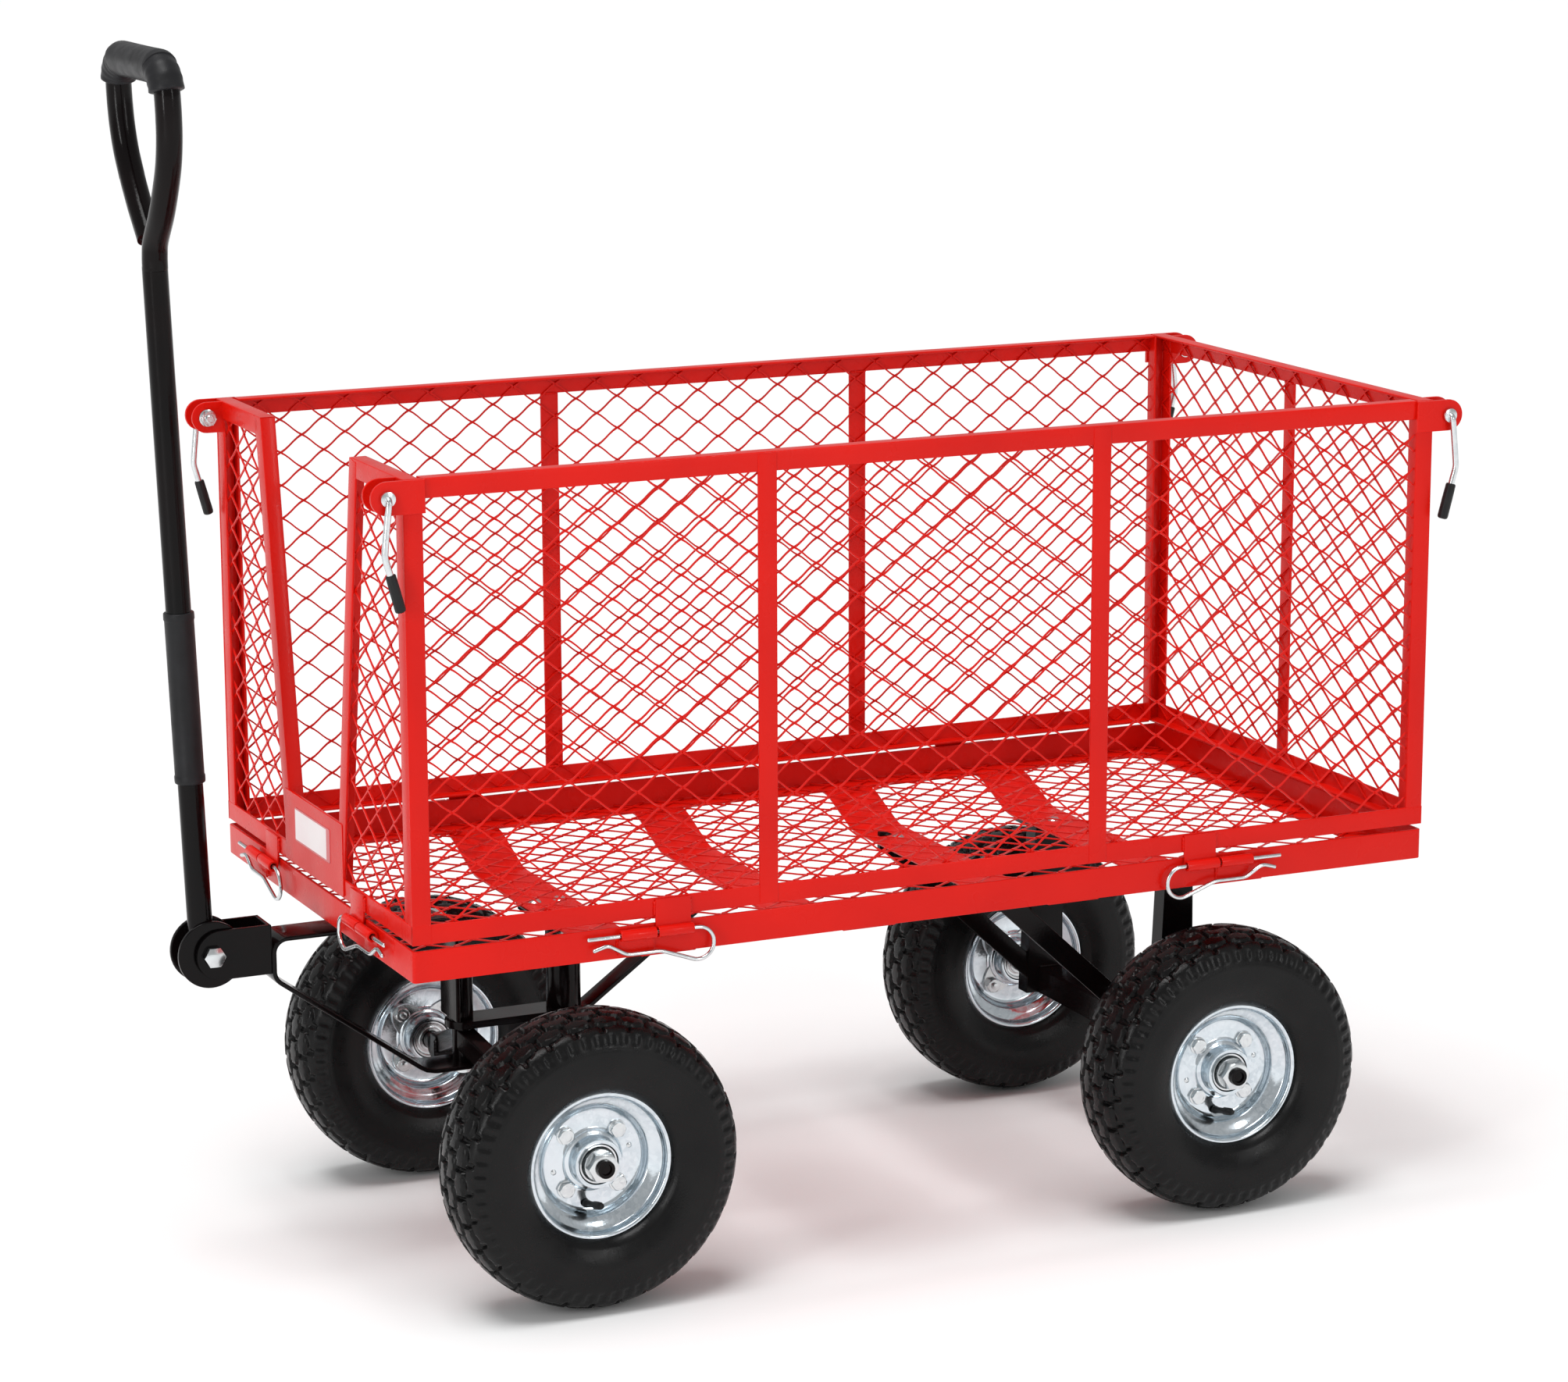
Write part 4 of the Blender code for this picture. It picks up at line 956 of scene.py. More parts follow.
@dataclass(frozen=True)
class Hinge:
    """Half of a hinge: a leaf whose end curls round the pin."""

    layout: Layout
    length: float = 0.032
    sheet: float = 0.0019
    curl: float = 0.00375

    def half(self, edge: Edge, centre: float, rising: bool) -> list[Shell]:
        """Return the leaf with its curl, and a weld seam on each of its sides.

        The curl is centre + curl * (cos a, sin a), over 310 degrees from the leaf's side of the pin.

        Args:
            edge: the edge it is on.
            centre: its middle along the edge.
            rising: whether the leaf goes up, to a panel, or down the rim.

        Returns:
            The shells.
        """
        way = 1 if rising else -1
        pin = np.array([-self.layout.hinge_out, self.layout.hinge_z])
        curl = arc(pin, self.curl, 0, -way * 310, 26)
        reach = 0.0265 if rising else 0.018
        foot = np.array([(-0.00135, pin[1] + way * reach), (-0.00135, pin[1] + way * 0.009)])
        bend = smooth_curve(np.vstack([foot[1:], [(-0.0021, pin[1] + way * 0.0045)]]), 3)
        line = np.vstack([foot[:1], bend, curl])
        path = edge.place(centre, line[:, 0], line[:, 1])
        shells = [carried(slab_section(self.sheet, self.length, 0.0004), path, edge.run)]
        for side in (-1, 1):
            along = centre + side * (self.length / 2 + 0.0003)
            low, high = (0.012, reach - 0.0015) if rising else (0.0035, reach - 0.001)
            shells.append(weld_bead(edge.place(along, -0.0006, pin[1] + way * low),
                                    edge.place(along, -0.0006, pin[1] + way * high), 0.0013))
        return shells


# ---------------------------------------------------------------- panels

@dataclass(frozen=True)
class Panel:
    """What the four panels share: rails, posts, a sheet of expanded metal and the hinges' moving halves."""

    layout: Layout
    edge: Edge
    half: float
    posts: tuple[float, ...] = ()
    post_width: float = 0.017
    latch_z: float = 0.7165
    latch_reach: float = 0.0145
    latch_radius: float = 0.0138

    @property
    def body(self) -> str:
        """Return the body that the panel's pieces ride on."""
        return "panel_" + self.edge.name

    def bar(self, start: tuple[float, float], end: tuple[float, float], section: Array, lateral: Array,
            depth: float) -> Shell:
        """Carry a section along a straight bar in the panel.

        Args:
            start: (along, height) of one end.
            end: (along, height) of the other.
            section: rows of (lateral, inward).
            lateral: direction of the section's first number.
            depth: depth of the section's zero.

        Returns:
            The closed shell.
        """
        path = np.stack([self.edge.place(start[0], depth, start[1]), self.edge.place(end[0], depth, end[1])])
        direction = unit(path[1] - path[0])
        path = np.stack([path[0], path[0] + direction * 0.0004, path[1] - direction * 0.0004, path[1]])
        return extrude(section, path, lateral, self.edge.inward, np.array([0.985, 1.0, 1.0, 0.985]))

    def rails(self, half: float, flange_half: float) -> list[Shell]:
        """Return the top and the bottom rail: an angle with its flange outside, and its web's bare ends."""
        angle = angle_section(BAR_WIDTH, BAR_FLANGE, BAR_WALL)
        web = angle_section(BAR_WIDTH, BAR_WALL * 1.5, BAR_WALL, 0.0003)
        web[:, 1] = np.minimum(web[:, 1], BAR_WALL - 0.0001)
        shells = []
        for level, up in ((self.layout.panel_low, Axis.Z.along), (self.layout.panel_high, -Axis.Z.along)):
            shells.append(self.bar((-flange_half, level), (flange_half, level), angle, up, 0.0))
            for side in (-1, 1):
                if half > flange_half:
                    start, end = (side * (flange_half - 0.001), level), (side * half, level)
                    shells.append(self.bar(start, end, web, up, 0.0002))
        return shells

    def corner_post(self, side: int, outer: float, lip_inside: bool) -> Shell:
        """Return one corner's angle post, with its lip on its inner or its outer side."""
        low, high = self.layout.panel_low + 0.0012, self.layout.panel_high - 0.0012
        section = angle_section(BAR_WIDTH, BAR_FLANGE - 0.0005, BAR_WALL)
        place = side * (outer - BAR_WIDTH) if lip_inside else side * outer
        lateral = self.edge.run * (side if lip_inside else -side)
        return self.bar((place, low), (place, high), section, lateral, 0.0003)

    def flat_post(self, place: float) -> Shell:
        """Return a flat post on the outer faces of the rails."""
        low, high = self.layout.panel_low + 0.0014, self.layout.panel_high - 0.0014
        section = slab_section(self.post_width, 0.0025, 0.0006)
        return self.bar((place, low), (place, high), section, self.edge.run, 0.0006)

    def seams(self) -> list[Shell]:
        """Return short weld seams where the posts meet the rails."""
        shells = []
        low, high = self.layout.panel_low + BAR_WIDTH, self.layout.panel_high - BAR_WIDTH
        for place in (-self.half + BAR_WIDTH / 2, *self.posts, self.half - BAR_WIDTH / 2):
            for level in (low, high):
                shells.append(weld_bead(self.edge.place(place - 0.0075, BAR_WALL + 0.0002, level),
                                        self.edge.place(place + 0.0075, BAR_WALL + 0.0002, level), 0.0012))
        return shells

    def hinges(self) -> list[Shell]:
        """Return the moving halves of the panel's hinges."""
        return [shell for side in (-1, 1) for shell in
                Hinge(self.layout).half(self.edge, side * (self.edge.hinge_centre - 0.017), rising=True)]

    def strands(self, half: float) -> Shell:
        """Return the panel's sheet of expanded metal over a rectangle."""
        low = self.layout.panel_low + BAR_WALL + SHEET_CLEAR
        high = self.layout.panel_high - BAR_WALL - SHEET_CLEAR
        sides = np.array([(1, 0, half), (-1, 0, half), (0, 1, high), (0, -1, -low)])
        return ExpandedMetal().sheet(np.array([-half, low]), np.array([half, high]), sides,
                                     self.edge.place(0.0, SHEET_DEPTH, 0.0), self.edge.run, Axis.Z.along)


@dataclass(frozen=True)
class SidePanel(Panel):
    """A long side: four uprights and a latch plate beyond each top corner."""

    posts: tuple[float, ...] = (-0.164, 0.151)
    back: float = 0.018

    def latch_plate(self, side: int) -> Shell:
        """Return the outer latch plate: a square back and a round tab beyond the corner."""
        tab = arc((self.half + self.latch_reach, self.latch_z), self.latch_radius, -90, 90, 17)
        back = self.half - self.back
        outline = np.vstack([[(back, tab[-1, 1]), (back, tab[0, 1])], tab])
        outline[:, 0] *= side
        start = self.edge.place(0.0, -0.0033, 0.0)
        depth = (0.0, 0.0036) if self.edge.facing > 0 else (-0.0036, 0.0)
        return plate(outline, start, self.edge.run, Axis.Z.along, depth, 0.0006)

    def build(self) -> None:
        """Make the side panel's pieces."""
        name = self.edge.name
        shells = self.rails(self.half, self.half - BAR_WIDTH)
        shells += [self.corner_post(side, self.half, True) for side in (-1, 1)]
        shells += [self.flat_post(place) for place in self.posts] + self.hinges() + self.seams()
        shells += [self.latch_plate(side) for side in (-1, 1)]
        make_piece("side_bars_" + name, shells, POWDER_COAT, self.body, ("side_frame_" + name,))
        make_piece("side_strands_" + name, [self.strands(self.half - BAR_WIDTH - SHEET_CLEAR)], POWDER_COAT,
                   self.body, ("side_mesh_" + name,), 60)


@dataclass(frozen=True)
class EndPanel(Panel):
    """A short end: angle posts with their lips outside, and an inner latch tab on each."""

    tab_y: float = 0.2225

    def end_tabs(self) -> list[Shell]:
        """Return the two latch tabs, each a plate that reaches out past the corner."""
        tab = arc((self.edge.face + self.latch_reach, self.latch_z), self.latch_radius, -90, 90, 17)
        back = self.edge.face - 0.0008
        outline = np.vstack([[(back, tab[-1, 1]), (back, tab[0, 1])], tab])
        outline[:, 0] = self.edge.outward * outline[:, 0] + self.layout.centre_x
        shells = []
        for side in (-1, 1):
            low, high = sorted((-side * self.tab_y, -side * (self.tab_y + 0.003)))
            shells.append(plate(outline, np.zeros(3), Axis.X.along, Axis.Z.along, (low, high), 0.0006))
        return shells

    def frame_shells(self) -> list[Shell]:
        """Return the corner posts, the tabs, the hinges and the seams."""
        shells = [self.corner_post(side, self.half, False) for side in (-1, 1)]
        return shells + self.end_tabs() + self.hinges() + self.seams()

    def build(self) -> None:
        """Make the rear panel's pieces."""
        name = self.edge.name
        shells = self.rails(self.half, self.half) + self.frame_shells()
        shells += [self.flat_post(place) for place in self.posts]
        make_piece("end_bars_" + name, shells, POWDER_COAT, self.body, ("end_frame_" + name,))
        make_piece("end_strands_" + name, [self.strands(self.half - BAR_WALL - SHEET_CLEAR)], POWDER_COAT,
                   self.body, ("end_mesh_" + name,), 60)


@dataclass(frozen=True)
class NotchedPanel(EndPanel):
    """The front end: two bays beside an open notch for the handle, over a low plate with a label."""

    notch_low: float = 0.410
    notch_low_half: float = 0.066
    notch_top_half: float = 0.115
    plate_half: float = 0.0755
    label_half: tuple[float, float] = (0.046, 0.0150)
    label_place: tuple[float, float] = (0.002, 0.3835)

    @property
    def slope(self) -> float:
        """Return how much the notch widens for each metre of height."""
        return (self.notch_top_half - self.notch_low_half) / (self.layout.panel_high - self.notch_low)

    def notch_half(self, height: float) -> float:
        """Return the notch's half width at a height."""
        return self.notch_low_half + self.slope * (height - self.notch_low)

    def slanted_post(self, side: int) -> Shell:
        """Return a leaning angle post beside the notch, its lip on the notch's side."""
        low, high = self.layout.panel_low + 0.003, self.layout.panel_high - 0.0005
        lean = math.hypot(1.0, self.slope)
        lateral = self.edge.run * side / lean - Axis.Z.along * self.slope / lean
        section = angle_section(BAR_WIDTH, BAR_FLANGE - 0.0005, BAR_WALL)
        foot, head = (side * self.notch_half(low), low), (side * self.notch_half(high), high)
        return self.bar(foot, head, section, lateral, -0.0004)

    def notched_strands(self, side: int) -> Shell:
        """Return one bay's strands, between the corner post and the leaning post."""
        low = self.layout.panel_low + BAR_WALL + SHEET_CLEAR
        high = self.layout.panel_high - BAR_WALL - SHEET_CLEAR
        half = self.half - BAR_WALL - SHEET_CLEAR
        start = self.notch_half(0.0) + BAR_WALL + 0.0015
        sides = np.array([(side, 0, half), (-side, self.slope, -start), (0, 1, high), (0, -1, -low)])
        corners = (np.array([-half, low]), np.array([half, high]))
        return ExpandedMetal().sheet(*corners, sides, self.edge.place(0.0, SHEET_DEPTH, 0.0), self.edge.run,
                                     Axis.Z.along)

    def low_plate(self) -> Shell:
        """Return the plate under the notch, with its corners rounded."""
        low, high = self.layout.panel_low + 0.002, self.notch_low
        outline = rounded([(-self.plate_half, low), (self.plate_half, low), (self.plate_half, high),
                           (-self.plate_half, high)], 0.0016)
        return self.flat_sheet(outline, (-0.0012, 0.0016))

    def flat_sheet(self, outline: Array, depth: tuple[float, float]) -> Shell:
        """Return a plate in the panel's plane over a range of depths."""
        low, high = sorted((self.edge.facing * depth[0], self.edge.facing * depth[1]))
        start = self.edge.place(0.0, 0.0, 0.0)
        return plate(outline, start, self.edge.run, Axis.Z.along, (low, high), 0.0004)

    def label(self) -> None:
        """Make the plain label on the low plate."""
        half_y, half_z = self.label_half
        middle = self.edge.place(self.label_place[0], 0.0, self.label_place[1])
        finish = LabelFinish("label_sheet", "red_powder_coat", (0.88, 0.80, 0.80), (0.85, 0.70, 0.71), 22.0,
                             (0.30, 0.42), 60.0, bump=0.04, centre=tuple(middle), half_width=half_y,
                             half_height=half_z)
        y, z = self.label_place
        outline = rounded([(y - half_y, z - half_z), (y + half_y, z - half_z), (y + half_y, z + half_z),
                           (y - half_y, z + half_z)], 0.0025)
        make_piece("front_label", [self.flat_sheet(outline, (-0.0016, -0.0011))], finish, self.body)

    def build(self) -> None:
        """Make the front panel's pieces."""
        section = angle_section(BAR_WIDTH, BAR_FLANGE, BAR_WALL)
        low, high = self.layout.panel_low, self.layout.panel_high
        shells = [self.bar((-self.half, low), (self.half, low), section, Axis.Z.along, 0.0)]
        for side in (-1, 1):
            inner = side * (self.notch_top_half + 0.002)
            shells.append(self.bar((inner, high), (side * self.half, high), section, -Axis.Z.along, 0.0))
            shells.append(self.slanted_post(side))
        shells += self.frame_shells() + [self.low_plate()]
        make_piece("end_bars_front", shells, POWDER_COAT, self.body, ("end_frame_front",))
        for side, name in ((-1, "left"), (1, "right")):
            make_piece("end_strands_front_" + name, [self.notched_strands(side)], POWDER_COAT, self.body,
                       ("end_mesh_front_" + name,), 60)
        self.label()


# ---------------------------------------------------------------- latches and clips

@dataclass(frozen=True)
class Latch:
    """One corner's latch: a bent lever with a sleeve on the side, and a stud with a nut on the end."""

    layout: Layout
    front: bool
    left: bool
    height: float = 0.7165
    reach: float = 0.0145
    lever_y: float = 0.2505
    lever_radius: float = 0.0028
    sleeve_radius: float = 0.0047
    tab_y: float = 0.2225

    @property
    def name(self) -> str:
        """Return the corner's name."""
        return ("front" if self.front else "rear") + ("_left" if self.left else "_right")

    @property
    def pin_x(self) -> float:
        """Return the pin's place along the cart."""
        way = -1 if self.front else 1
        return way * (self.layout.half_length + self.reach) + self.layout.centre_x

    def at(self, out: float, drop: float, across: float) -> tuple[float, float, float]:
        """Return a point: outwards from the pin, below it, and at a distance from the middle."""
        way = -1 if self.front else 1
        return (self.pin_x + way * out, -across if self.left else across, self.height + drop)

    def build(self) -> None:
        """Make the lever, its sleeve and the stud."""
        side = -1 if self.left else 1
        body = "latch_" + self.name
        y = self.lever_y
        knots = [self.at(0, 0, 0.2421), self.at(0, 0, 0.2470), self.at(0.0002, -0.0014, y - 0.0008),
                 self.at(0.0008, -0.0055, y), self.at(0.0027, -0.022, y), self.at(0.0046, -0.040, y),
                 self.at(0.0046, -0.0470, y), self.at(0.0020, -0.0565, y), self.at(-0.0002, -0.0645, y)]
        path = smooth_curve(knots, 6)
        lever = extrude(circle(self.lever_radius), path, *self.frame_of(path))
        head = lathe(np.array([0.0, 0.0005, 0.0012, 0.0026, 0.0032]) * side,
                     [0.0050, 0.0062, 0.0066, 0.0062, 0.0040], self.at(0, 0, 0.2458), Axis.Y, 24)
        make_piece("lever_" + self.name, [lever, head], ZINC_DULL, body, ("latch_lever_" + self.name,))
        start, end = np.array(self.at(0.0007, -0.0605, y)), np.array(self.at(-0.0077, -0.0915, y))
        share = np.array([0.0, 0.01, 0.04, 0.3, 0.5, 0.52, 0.75, 0.93, 0.975, 1.0])
        grow = np.array([0.70, 0.86, 0.95, 0.98, 1.0, 0.985, 1.0, 1.0, 0.90, 0.60])
        ridges = circle(1.0, 40)
        wave = 0.97 + 0.03 * np.cos(np.arange(40) * math.pi / 2)
        ridges *= (self.sleeve_radius * wave)[:, None]
        sleeve = carried(ridges, start + (end - start) * share[:, None], (0, 1, 0), grow)
        make_piece("lever_sleeve_" + self.name, [sleeve], VALVE_BLACK, body)
        self.stud(side)

    @staticmethod
    def frame_of(path: Array) -> tuple[Array, Array]:
        """Return two directions across a lever's path: one nearest to the row's, and one square to both."""
        tangent = unit(np.gradient(path, axis=0))
        first = unit(np.cross(tangent, np.broadcast_to([1.0, 0.0, 0.0], path.shape)))
        return first, np.cross(tangent, first)

    def stud(self, side: int) -> None:
        """Make the stud with its washer and nut."""
        centre = np.array([self.pin_x, 0.0, self.height])
        nut = sorted((side * (self.tab_y - 0.0070), side * (self.tab_y - 0.0014)))
        washer = sorted((side * (self.tab_y - 0.0018), side * (self.tab_y - 0.0003)))
        shells = [lathe(np.array([0.2412, 0.2170]) * side, [0.0034, 0.0034], centre, Axis.Y, 24),
                  thread(centre, Axis.Y, 0.0036, side * 0.2170, side * 0.2134),
                  hexagon(centre, Axis.Y, 0.0125, *nut), disc(centre, Axis.Y, 0.0078, *washer, 0.0003)]
        end = "front" if self.front else "rear"
        make_piece("stud_" + self.name, shells, ZINC_DULL, "panel_" + end, ("latch_stud_" + self.name,))


@dataclass(frozen=True)
class SpringClip:
    """An R-shaped wire clip: its straight leg is a hinge's pin and its wavy leg springs under the barrel."""

    layout: Layout
    edge: Edge
    side: int
    wire: float = 0.0018
    loop: float = 0.014

    def build(self) -> None:
        """Make the clip."""
        bow = arc((-0.038, -self.loop), self.loop, 90, 292, 22)
        knots = [bow[-1], (-0.004, -0.0165), (0.027, -0.0165), (0.044, -0.0065), (0.058, -0.0105)]
        wave = rounded(knots, 0.0045, 5, closed=False)
        line = np.vstack([[(0.063, 0.0), (0.030, 0.0), (0.0, 0.0), (-0.036, 0.0)], bow[1:], wave[1:]])
        along = self.side * (self.edge.hinge_centre + line[:, 0])
        path = self.edge.place(along, -self.layout.hinge_out, self.layout.hinge_z + line[:, 1])
        node = f"clip_{self.edge.name}_{'a' if self.side < 0 else 'b'}"
        wire = rod(path, self.wire, self.edge.inward, 14)
        make_piece("pin_" + node, [wire], ZINC_DULL, node, (node,))


# ---------------------------------------------------------------- wheels

@dataclass(frozen=True)
class Tread:
    """Sizes of the block tread: its blocks round the tyre, its grooves and its shoulder pockets."""

    blocks: int = 31
    steps: int = 17
    groove: float = 0.0038
    depth: float = 0.0036
    pocket_depth: float = 0.0011

    @staticmethod
    def ramp(distance: Array, width: float, soft: float = 0.0009) -> Array:
        """Return one inside a half width, and fall smoothly to zero over a soft edge."""
        share = np.clip((width + soft - np.abs(distance)) / (2 * soft), 0.0, 1.0)
        return share * share * (3 - 2 * share)

    def relief(self, across: Array, radius: Array, turn: Array) -> Array:
        """Return how far the surface sinks at each point.

        The lengthwise grooves are where |across - a wave| is small, with a wave of one block. The
        cross grooves are where the place round the tyre is near a block's end, half a block on from
        one side to the other. The pockets are rectangles high on the sidewall, two to a block.

        Args:
            across: place across the tyre, as a column.
            radius: radius there, as a column.
            turn: angle round the tyre, as a row.

        Returns:
            Depths, as (across, turn).
        """
        pitch = 2 * math.pi / self.blocks
        rim = 0.130 * pitch
        side = np.sign(across + 1e-9)
        phase = (turn / pitch + 0.25 * side) % 1.0
        saw = np.abs(phase - 0.5) * 4 - 1
        width = np.abs(across)
        tread = np.clip((0.0365 - width) / 0.0012, 0, 1) * np.clip((radius - 0.112) / 0.002, 0, 1)
        centre = self.ramp(across - 0.0022 * saw, self.groove / 2)
        first = self.ramp(width - 0.0155 - 0.0016 * saw, self.groove / 2)
        second = self.ramp(width - 0.0290 + 0.0012 * saw, self.groove / 2.6)
        crown = self.ramp((phase - 0.5) * rim, self.groove / 2) * (width < 0.0165)
        middle_phase = (phase + 0.5) % 1.0 - 0.5
        middle = self.ramp(middle_phase * rim, self.groove / 1.8) * ((width > 0.0140) & (width < 0.0300))
        edge_phase = (phase + 0.25) % 1.0 - 0.5
        outer = self.ramp(edge_phase * rim, self.groove / 1.5) * (width > 0.0280)
        grooves = np.maximum.reduce([centre, first, 0.8 * second, crown, middle, outer]) * tread
        pocket = self.ramp((edge_phase % 0.5 - 0.25) * rim, 0.0032) * self.ramp(radius - 0.1135, 0.0042)
        return grooves * self.depth + pocket * (width > 0.034) * self.pocket_depth


@dataclass(frozen=True)
class Wheel:
    """A pneumatic wheel about its axle: tyre, split steel rim, bearing, lobed back plate and valve."""

    name: str
    centre: tuple[float, float, float]
    tread: Tread = Tread()
    bead: float = 0.0645
    bolt_circle: float = 0.0335
    bolt_flats: float = 0.0125

    @property
    def out(self) -> int:
        """Return the side of the cart it is on."""
        return 1 if self.centre[1] > 0 else -1

    @property
    def body(self) -> str:
        """Return the body it turns with."""
        return "wheel_" + self.name

    def tyre(self) -> Shell:
        """Return the tyre: a smooth section turned about the axle, sunk by the tread's relief.

        Each point moves along the section's own normal by the relief at its place.
        """
        knots = [(-0.0300, self.bead), (-0.0352, 0.0690), (-0.0390, 0.0768), (-0.0416, 0.0870),
                 (-0.0421, 0.0975), (-0.0411, 0.1075), (-0.0382, 0.1165), (-0.0325, 0.1228),
                 (-0.0230, 0.1270), (-0.0115, 0.1292), (0.0, 0.1298)]
        knots = np.array(knots + [(-a, r) for a, r in reversed(knots[:-1])])
        fine = smooth_curve(knots, 24)
        length = np.concatenate([[0.0], np.cumsum(np.linalg.norm(np.diff(fine, axis=0), axis=1))])
        even = np.linspace(0.0, length[-1], 108)
        section = np.stack([np.interp(even, length, column) for column in fine.T], axis=-1)
        tangent = unit(np.gradient(section, axis=0))
        normal = np.stack([-tangent[:, 1], tangent[:, 0]], axis=-1)
        across, radius = section[:, :1], section[:, 1:]
        segments = self.tread.blocks * self.tread.steps
        turn = np.linspace(0.0, 2 * math.pi, segments, endpoint=False)[None, :]
        sink = self.tread.relief(across, radius, turn)
        sink = sink + self.sidewall(radius) * np.ones_like(turn)
        heights = across - sink * normal[:, :1]
        radii = radius - sink * normal[:, 1:]
        inner = np.array([(0.0185, self.bead), (0.0300, 0.0850), (0.0312, 0.1080), (0.0, 0.1205)])
        inner = np.vstack([inner, (inner[:-1] * (-1, 1))[::-1]])
        heights = np.vstack([heights, np.repeat(inner[:, :1], segments, axis=1)])
        radii = np.vstack([radii, np.repeat(inner[:, 1:], segments, axis=1)])
        return lathe(heights * self.out, radii, self.centre, Axis.Y, segments, hollow=True)

    @staticmethod
    def sidewall(radius: Array) -> Array:
        """Return the fine moulded rings: raised where the radius is near a ring's."""
        ring = np.exp(-((radius - 0.0715) / 0.0010) ** 2) + 0.7 * np.exp(-((radius - 0.1030) / 0.0007) ** 2)
        return -0.0004 * ring

    def rim(self) -> Shell:
        """Return the rim: rolled lip, drop-centre barrel, dished wall, flat disc and bearing hub."""
        barrel = [(0.0030, 0.0508), (0.0120, 0.0512), (0.0150, 0.0548), (0.0170, 0.0612), (0.0196, 0.0632)]
        lip = [(0.0240, 0.0636), (0.0272, 0.0641), (0.0289, 0.0640), (0.0292, 0.0628), (0.0286, 0.0612),
               (0.0272, 0.0604), (0.0240, 0.0601), (0.0212, 0.0598), (0.0198, 0.0584)]
        dish = [(0.0180, 0.0545), (0.0160, 0.0500), (0.0138, 0.0481), (0.0105, 0.0468), (0.0076, 0.0457),
                (0.0064, 0.0444), (0.0061, 0.0420), (0.0061, 0.0290)]
        hub = [(0.0064, 0.0272), (0.0084, 0.0260), (0.0092, 0.0250), (0.0092, 0.0232), (0.0096, 0.0224),
               (0.0120, 0.0219), (0.0218, 0.0217), (0.0228, 0.0212), (0.0230, 0.0200), (0.0228, 0.0182),
               (0.0215, 0.0178)]
        half = np.array(barrel + lip + dish + hub)
        waist = np.array([(0.0, 0.0505)])
        profile = np.vstack([waist, half, (half * (-1, 1))[::-1]])
        return lathe(profile[:, 0] * self.out, profile[:, 1], self.centre, Axis.Y, 96, hollow=True)

    def bolt_places(self) -> Array:
        """Return the four bolts' centres."""
        turn = np.radians(45 + 90 * np.arange(4))
        round_axle = np.stack([np.cos(turn), np.zeros(4), np.sin(turn)], axis=-1)
        return np.array(self.centre) + self.bolt_circle * round_axle

    def across(self, low: float, high: float) -> tuple[float, float]:
        """Return two heights towards the outside as a low and a high place along Y."""
        first, second = sorted((self.out * low, self.out * high))
        return first, second

    def fasteners(self) -> tuple[list[Shell], list[Shell]]:
        """Return the bolt heads with their washers and dimples, and the nuts behind."""
        heads, nuts = [], []
        for place in self.bolt_places():
            heads.append(disc(place, Axis.Y, 0.0079, *self.across(0.0060, 0.0070), 0.0003))
            heads.append(hexagon(place, Axis.Y, self.bolt_flats, *self.across(0.0068, 0.0112)))
            crown = np.array([0.0110, 0.0113, 0.0110, 0.0105]) * self.out
            heads.append(lathe(crown, [0.0048, 0.0040, 0.0024, 0.0006], place, Axis.Y, 24))
            nuts.append(hexagon(place, Axis.Y, self.bolt_flats, *self.across(-0.0136, -0.0081)))
            end = np.sort(np.array(self.across(-0.0152, -0.0130)))
            nuts.append(disc(place, Axis.Y, 0.0033, *end, 0.0006))
        for angle in (12.0, 192.0):
            turn = math.radians(angle)
            spot = np.array(self.centre) + 0.0355 * np.array([math.cos(turn), 0.0, math.sin(turn)])
            dome = np.array([0.0058, 0.0064, 0.0070, 0.0072]) * self.out
            heads.append(lathe(dome, [0.0026, 0.0025, 0.0015, 0.0004], spot, Axis.Y, 20))
        return heads, nuts

    def back_plate(self) -> Shell:
        """Return the lobed plate behind the disc: its radius is 0.033 - 0.0085 cos(4 angle)."""
        turn = np.linspace(0.0, 2 * math.pi, 96, endpoint=False)
        outer = 0.0330 - 0.0085 * np.cos(4 * turn)
        low, high = self.across(-0.0083, -0.0063)
        heights = np.array([low, low + 0.0004, high - 0.0004, high, high, low])[:, None] * np.ones_like(turn)
        bore = np.full(96, 0.0236)
        radii = np.stack([outer - 0.0004, outer, outer, outer - 0.0004, bore, bore])
        return lathe(heights, radii, self.centre, Axis.Y, 96, hollow=True)

    def bearing(self) -> list[Shell]:
        """Return the bearing: outer race, seal and inner race on each side of a spacer tube."""
        profile = np.array([(0.0220, 0.0086), (0.0220, 0.0108), (0.0212, 0.0111), (0.0208, 0.0120),
                            (0.0208, 0.0146), (0.0212, 0.0153), (0.0220, 0.0156), (0.0220, 0.0170),
                            (0.0214, 0.0173), (0.0110, 0.0173), (0.0110, 0.0112)])
        profile = np.vstack([profile, (profile * (-1, 1))[::-1]])
        return [lathe(profile[:, 0] * self.out, profile[:, 1], self.centre, Axis.Y, 48, hollow=True)]

